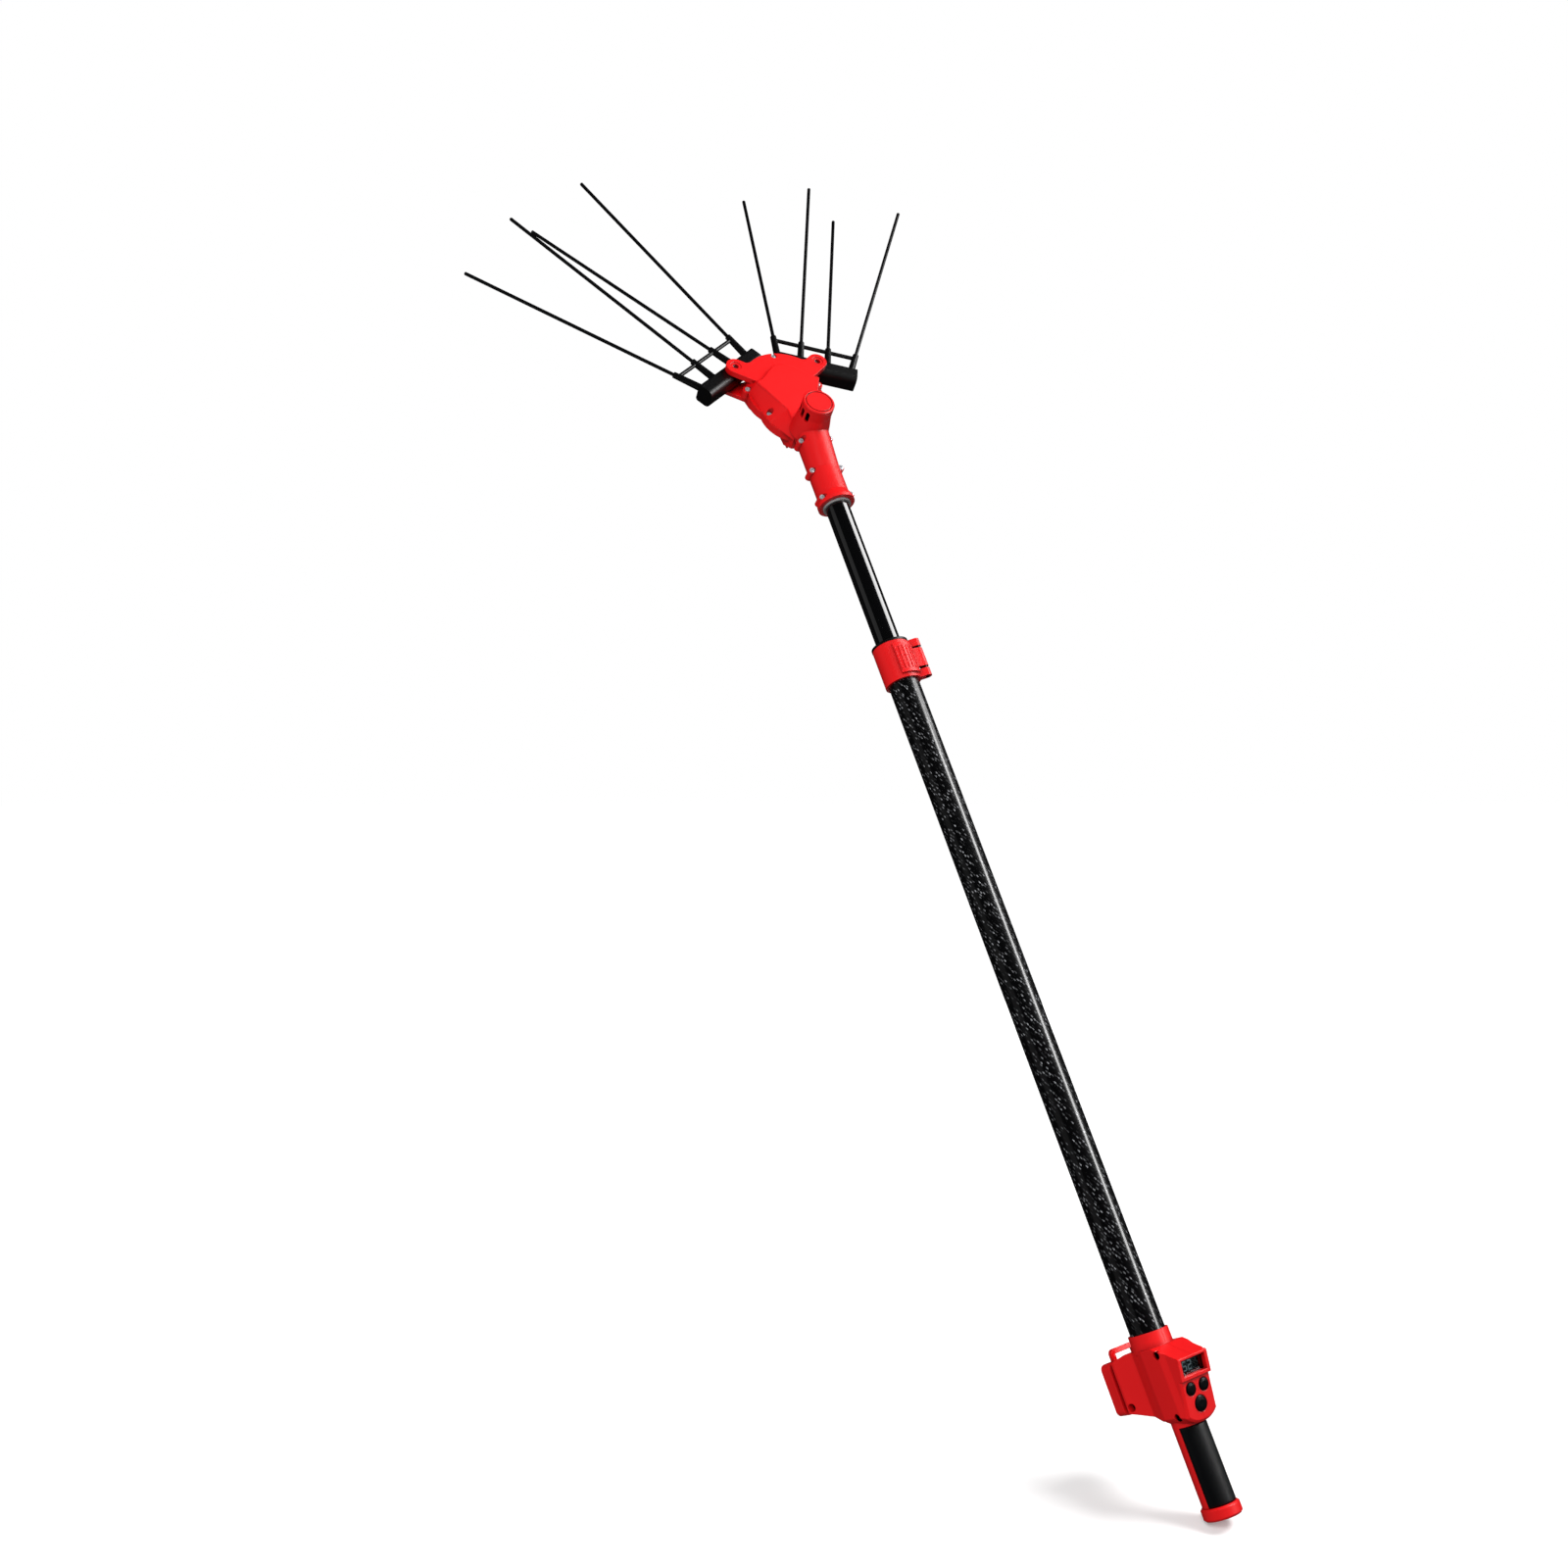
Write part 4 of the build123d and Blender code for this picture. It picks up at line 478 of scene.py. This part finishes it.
def loose_bodies(node):
    """The vertices of each separate solid in a CAD node."""
    mesh = nodes[node].data
    group = {}
    owner = {}
    for vertex in mesh.vertices:
        key = tuple(round(c, 6) for c in vertex.co)
        owner[vertex.index] = group.setdefault(key, vertex.index)
    parent = {index: index for index in set(owner.values())}

    def root(index):
        while parent[index] != index:
            index = parent[index]
        return index

    for edge in mesh.edges:
        first = root(owner[edge.vertices[0]])
        second = root(owner[edge.vertices[1]])
        parent[max(first, second)] = min(first, second)
    bodies = {}
    for index in parent:
        bodies.setdefault(root(index), []).append(mesh.vertices[index].co.copy())
    return list(bodies.values())


LEVEL_PLAY = 0.01 * MM  # how far from its level a point of a flat end may lie


def end_disc(points, way, level):
    """Middle and radius of a flat end that lies at a level along a way."""
    rim = [p for p in points if abs(p.dot(way) - level) < LEVEL_PLAY]
    middle = sum(rim, Vector()) / len(rim)
    return middle, max((p - middle).length for p in rim)


# Pan-head screws, in shares of the head's height and radius
SCREW_SIDES = 48
HEAD_RINGS = 14
RIM_HEIGHT = 0.45
CROWN_RISE = 0.55
CROWN_POWER = 2.4  # the higher, the flatter the crown
CROSS_REACH = 0.58
CROSS_HALF = 0.15
CROSS_DEPTH = 0.55
CROSS_POWER = 0.4  # the lower, the steeper the ends of the cross


def screw_points(solid, way, head_height):
    """Rings of a pan-head screw with a cross recess, from its crown to its tip."""
    top, head_radius = end_disc(solid, way, max(p.dot(way) for p in solid))
    tip, shank_radius = end_disc(solid, way, min(p.dot(way) for p in solid))
    side = way.orthogonal().normalized()
    other = way.cross(side)
    turns = [2 * pi * step / SCREW_SIDES for step in range(SCREW_SIDES)]
    points = []
    for ring in range(HEAD_RINGS + 1):
        share = ring / HEAD_RINGS
        for turn in turns:
            x, y = share * cos(turn), share * sin(turn)
            height = RIM_HEIGHT + CROWN_RISE * sqrt(1 - share ** CROWN_POWER)
            arm, width = max(abs(x), abs(y)), min(abs(x), abs(y))
            if arm < CROSS_REACH and width < CROSS_HALF:
                height -= CROSS_DEPTH * (1 - arm / CROSS_REACH) ** CROSS_POWER
            points.append(top + (side * x + other * y) * head_radius + way * (height - 1) * head_height)
    seat = top - way * head_height
    for middle, radius in ((seat, head_radius), (seat, shank_radius), (tip, shank_radius), (tip, 0.0)):
        points += [middle + (side * cos(turn) + other * sin(turn)) * radius for turn in turns]
    return points


def dress_screws(node, body, slot, way, head_height):
    """Detailed screws in place of the plain ones of a CAD node, as one group of separate screws."""
    points, faces = [], []
    for solid in loose_bodies(node):
        screw = screw_points(solid, way, head_height)
        faces += wrap_faces(len(screw) // SCREW_SIDES, SCREW_SIDES, len(points))
        points += screw
    dressed(node + "_heads", points, faces, slot, body, replaced=node)


# Upward ways of the neck and the head, from their turned planes
ROLL, PITCH = radians(-9), radians(8)
NECK_UP = Vector((0, -sin(ROLL), cos(ROLL)))
HEAD_UP = Vector((1, 0, 0)) * sin(PITCH) + NECK_UP * cos(PITCH)
LEFT = Vector((0, 1, 0))
PAN_HEIGHT = 2.4 * MM
SHELL_HEAD_HEIGHT = 2.6 * MM
dress_screws("head_screws", "pole_head", "zinc_screw", HEAD_UP, PAN_HEIGHT)
dress_screws("neck_screws", "pole_head", "zinc_screw", NECK_UP, PAN_HEIGHT)
dress_screws("handle_screws", "handle", "black_screw", LEFT, SHELL_HEAD_HEIGHT)

# Glowing pane and figures on the display, between its frame and the window; their glow is partly painted
# light
FACE_TILT = radians(13.5)
FACE_UP = Vector((-sin(FACE_TILT), 0, cos(FACE_TILT)))
FACE_ACROSS = Vector((0, -1, 0))
FACE_ALONG = Vector((cos(FACE_TILT), 0, sin(FACE_TILT)))
PANE = (17 * MM, 12.5 * MM)
PANE_ACROSS = -4 * MM  # from the middle of the display
FIGURES = ("acdfg", "abdeg")  # lit bars of each figure, lettered round it from its top
FIGURE = (4.4 * MM, 8.4 * MM)
FIGURE_PITCH = 7.2 * MM
STROKE = 1.1 * MM
FILM = 0.012 * MM
module = [v.co for v in nodes["display_module"].data.vertices]
module_middle, _ = end_disc(module, FACE_UP, max(p.dot(FACE_UP) for p in module))


def display_film(name, finish, level, bars):
    """Thin film on the display in bars, each given by its middle and size on the face."""
    points, faces = [], []
    for x, y, width, height in bars:
        start = len(points)
        for z in (level, level + FILM):
            for across, along in ((-1, -1), (1, -1), (1, 1), (-1, 1)):
                points.append(
                    module_middle
                    + FACE_ACROSS * (x + across * width / 2)
                    + FACE_ALONG * (y + along * height / 2)
                    + FACE_UP * z
                )
        faces += [(start, start + 3, start + 2, start + 1), (start + 4, start + 5, start + 6, start + 7)]
        faces += [(start + k, start + (k + 1) % 4, start + 4 + (k + 1) % 4, start + 4 + k) for k in range(4)]
    dressed(name, points, faces, finish, "handle")


display_film("display_pane", "display_pane", FILM / 2, [(PANE_ACROSS, 0, *PANE)])
half_w, half_h = FIGURE[0] / 2, FIGURE[1] / 2
figure_bars = []
for figure, lit_bars in enumerate(FIGURES):
    figure_x = PANE_ACROSS + (figure - (len(FIGURES) - 1) / 2) * FIGURE_PITCH
    bar_places = {
        "a": (figure_x, half_h, FIGURE[0], STROKE),
        "g": (figure_x, 0, FIGURE[0], STROKE),
        "d": (figure_x, -half_h, FIGURE[0], STROKE),
        "f": (figure_x - half_w, half_h / 2, STROKE, half_h - STROKE),
        "b": (figure_x + half_w, half_h / 2, STROKE, half_h - STROKE),
        "e": (figure_x - half_w, -half_h / 2, STROKE, half_h - STROKE),
        "c": (figure_x + half_w, -half_h / 2, STROKE, half_h - STROKE),
    }
    figure_bars += [bar_places[key] for key in lit_bars]
display_film("display_figures", "display_figure", 2 * FILM, figure_bars)

# Camera at the photograph's angle, solved for a square frame
RIGHT = Vector((-0.3022, -0.8516, 0.4283))
UP = Vector((0.8954, -0.0994, 0.4341))
BACK = Vector((-0.3271, 0.5147, 0.7925))
CAMERA_PLACE = Vector((0.3075, 1.0581, 1.3040))
camera = bpy.data.objects.new("camera", bpy.data.cameras.new("camera"))
scene.collection.objects.link(camera)
camera.data.lens = 33.75
camera.data.sensor_width = 36.0
camera.matrix_world = Matrix((RIGHT, UP, BACK)).transposed().to_4x4()
camera.matrix_world.translation = CAMERA_PLACE
scene.camera = camera

# Pale floor under the grip's cap, level for that camera; it is clear from below and doesn't light the tool
CAMERA_LOOKS_DOWN = radians(2.2)
FLOOR_UP = UP * cos(CAMERA_LOOKS_DOWN) + BACK * sin(CAMERA_LOOKS_DOWN)
FLOOR_FRONT = RIGHT.cross(FLOOR_UP)
FLOOR_REACH = 14.0
cap_low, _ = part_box("end_cap")
foot = Vector((cap_low.x, 0, cap_low.z))
floor_corners = [
    tuple(foot + (RIGHT * x + FLOOR_FRONT * y) * FLOOR_REACH)
    for x, y in ((-1, 1), (1, 1), (1, -1), (-1, -1))
]
floor_mesh = bpy.data.meshes.new("floor")
floor_mesh.from_pydata(floor_corners, [], [(0, 1, 2, 3)])
floor = bpy.data.objects.new("floor", floor_mesh)
scene.collection.objects.link(floor)
floor.visible_glossy = False
floor.visible_diffuse = False
pale, pale_tree, pale_shader = new_material(
    "pale_floor",
    Base_Color=linear("#EDEDED"),
    Roughness=0.9,
    Emission_Color=(1, 1, 1, 1),
    Emission_Strength=0.21,
)
facing = add_node(pale_tree, "ShaderNodeNewGeometry")
clear = add_node(pale_tree, "ShaderNodeBsdfTransparent")
one_sided = add_node(
    pale_tree,
    "ShaderNodeMixShader",
    {0: facing.outputs["Backfacing"], 1: pale_shader.outputs["BSDF"], 2: clear.outputs["BSDF"]},
)
pale_tree.links.new(one_sided.outputs[0], pale_tree.get_output_node("ALL").inputs["Surface"])
floor_mesh.materials.append(pale)

# Studio: white behind, pale for soft light, and dim in reflections so that blacks stay deep
FILL = 0.28
DIM = 0.012
world = bpy.data.worlds.new("studio")
scene.world = world
world.use_nodes = True
sky = world.node_tree
sky.nodes.clear()
ray = add_node(sky, "ShaderNodeLightPath")
soft = add_node(
    sky, "ShaderNodeMapRange", {"Value": ray.outputs["Is Diffuse Ray"], "To Min": DIM, "To Max": FILL}
)
white = add_node(
    sky, "ShaderNodeMath", {0: soft.outputs["Result"], 1: ray.outputs["Is Camera Ray"]}, operation="MAXIMUM"
)
glow = add_node(sky, "ShaderNodeBackground", {"Color": (1, 1, 1, 1), "Strength": white.outputs[0]})
add_node(sky, "ShaderNodeOutputWorld", {"Surface": glow.outputs["Background"]})


def studio_lamp(name, kind, way, aim, distance, power, glossy, **sizes):
    """A lamp that shines on aim from a way, its first side along the pole, for gloss or for soft light."""
    lamp = bpy.data.lights.new(name, kind)
    lamp.energy = power
    for size, value in sizes.items():
        setattr(lamp, size, value)
    holder = bpy.data.objects.new(name, lamp)
    scene.collection.objects.link(holder)
    back = way.normalized()
    across = back.cross(Vector((1, 0, 0))).normalized()
    holder.matrix_world = Matrix((across.cross(back), across, back)).transposed().to_4x4()
    holder.matrix_world.translation = aim + back * distance
    holder.visible_glossy = glossy
    holder.visible_diffuse = not glossy


# Soft lamps round the part: a wide sun in watts a square metre, and two panels in watts
KEY_WAY = Vector((0.59, -0.56, 0.57))
KEY_AWAY = 4.0
FRONT_WAY = Vector((0.1, 0.62, 0.74))
PANEL_AWAY = 2.6
PANEL = {"shape": "RECTANGLE", "size": 1.6, "size_y": 1.6}
low, high = cad_box
part_middle = (low + high) / 2
studio_lamp("key_lamp", "SUN", KEY_WAY, part_middle, KEY_AWAY, power=2.8, glossy=False, angle=radians(26))
studio_lamp("front_panel", "AREA", FRONT_WAY, part_middle, PANEL_AWAY, power=58, glossy=False, **PANEL)
studio_lamp("back_panel", "AREA", -FRONT_WAY, part_middle, PANEL_AWAY, power=26, glossy=False, **PANEL)

# Strips that draw the bright lines along the two tubes, and the faint one on their left
STRIP_AWAY = 1.6
INNER_AIM = Vector((1.85, 0, 0))
CARBON_AIM = Vector((0.75, 0, 0))


def strip_lamp(name, degrees, aim, power, along, across):
    """A strip seen only in gloss, square to the pole, at an angle turned from its left side up."""
    way = Vector((0, cos(radians(degrees)), sin(radians(degrees))))
    strip = {"shape": "RECTANGLE", "size": along, "size_y": across}
    studio_lamp(name, "AREA", way, aim, STRIP_AWAY, power, glossy=True, **strip)


strip_lamp("inner_strip", 140, INNER_AIM, power=16, along=0.9, across=1.1)
strip_lamp("carbon_strip", 128, CARBON_AIM, power=28, along=1.4, across=0.4)
strip_lamp("left_sheen", -5, part_middle, power=1.3, along=2.4, across=1.2)
scene.view_settings.view_transform = "Standard"
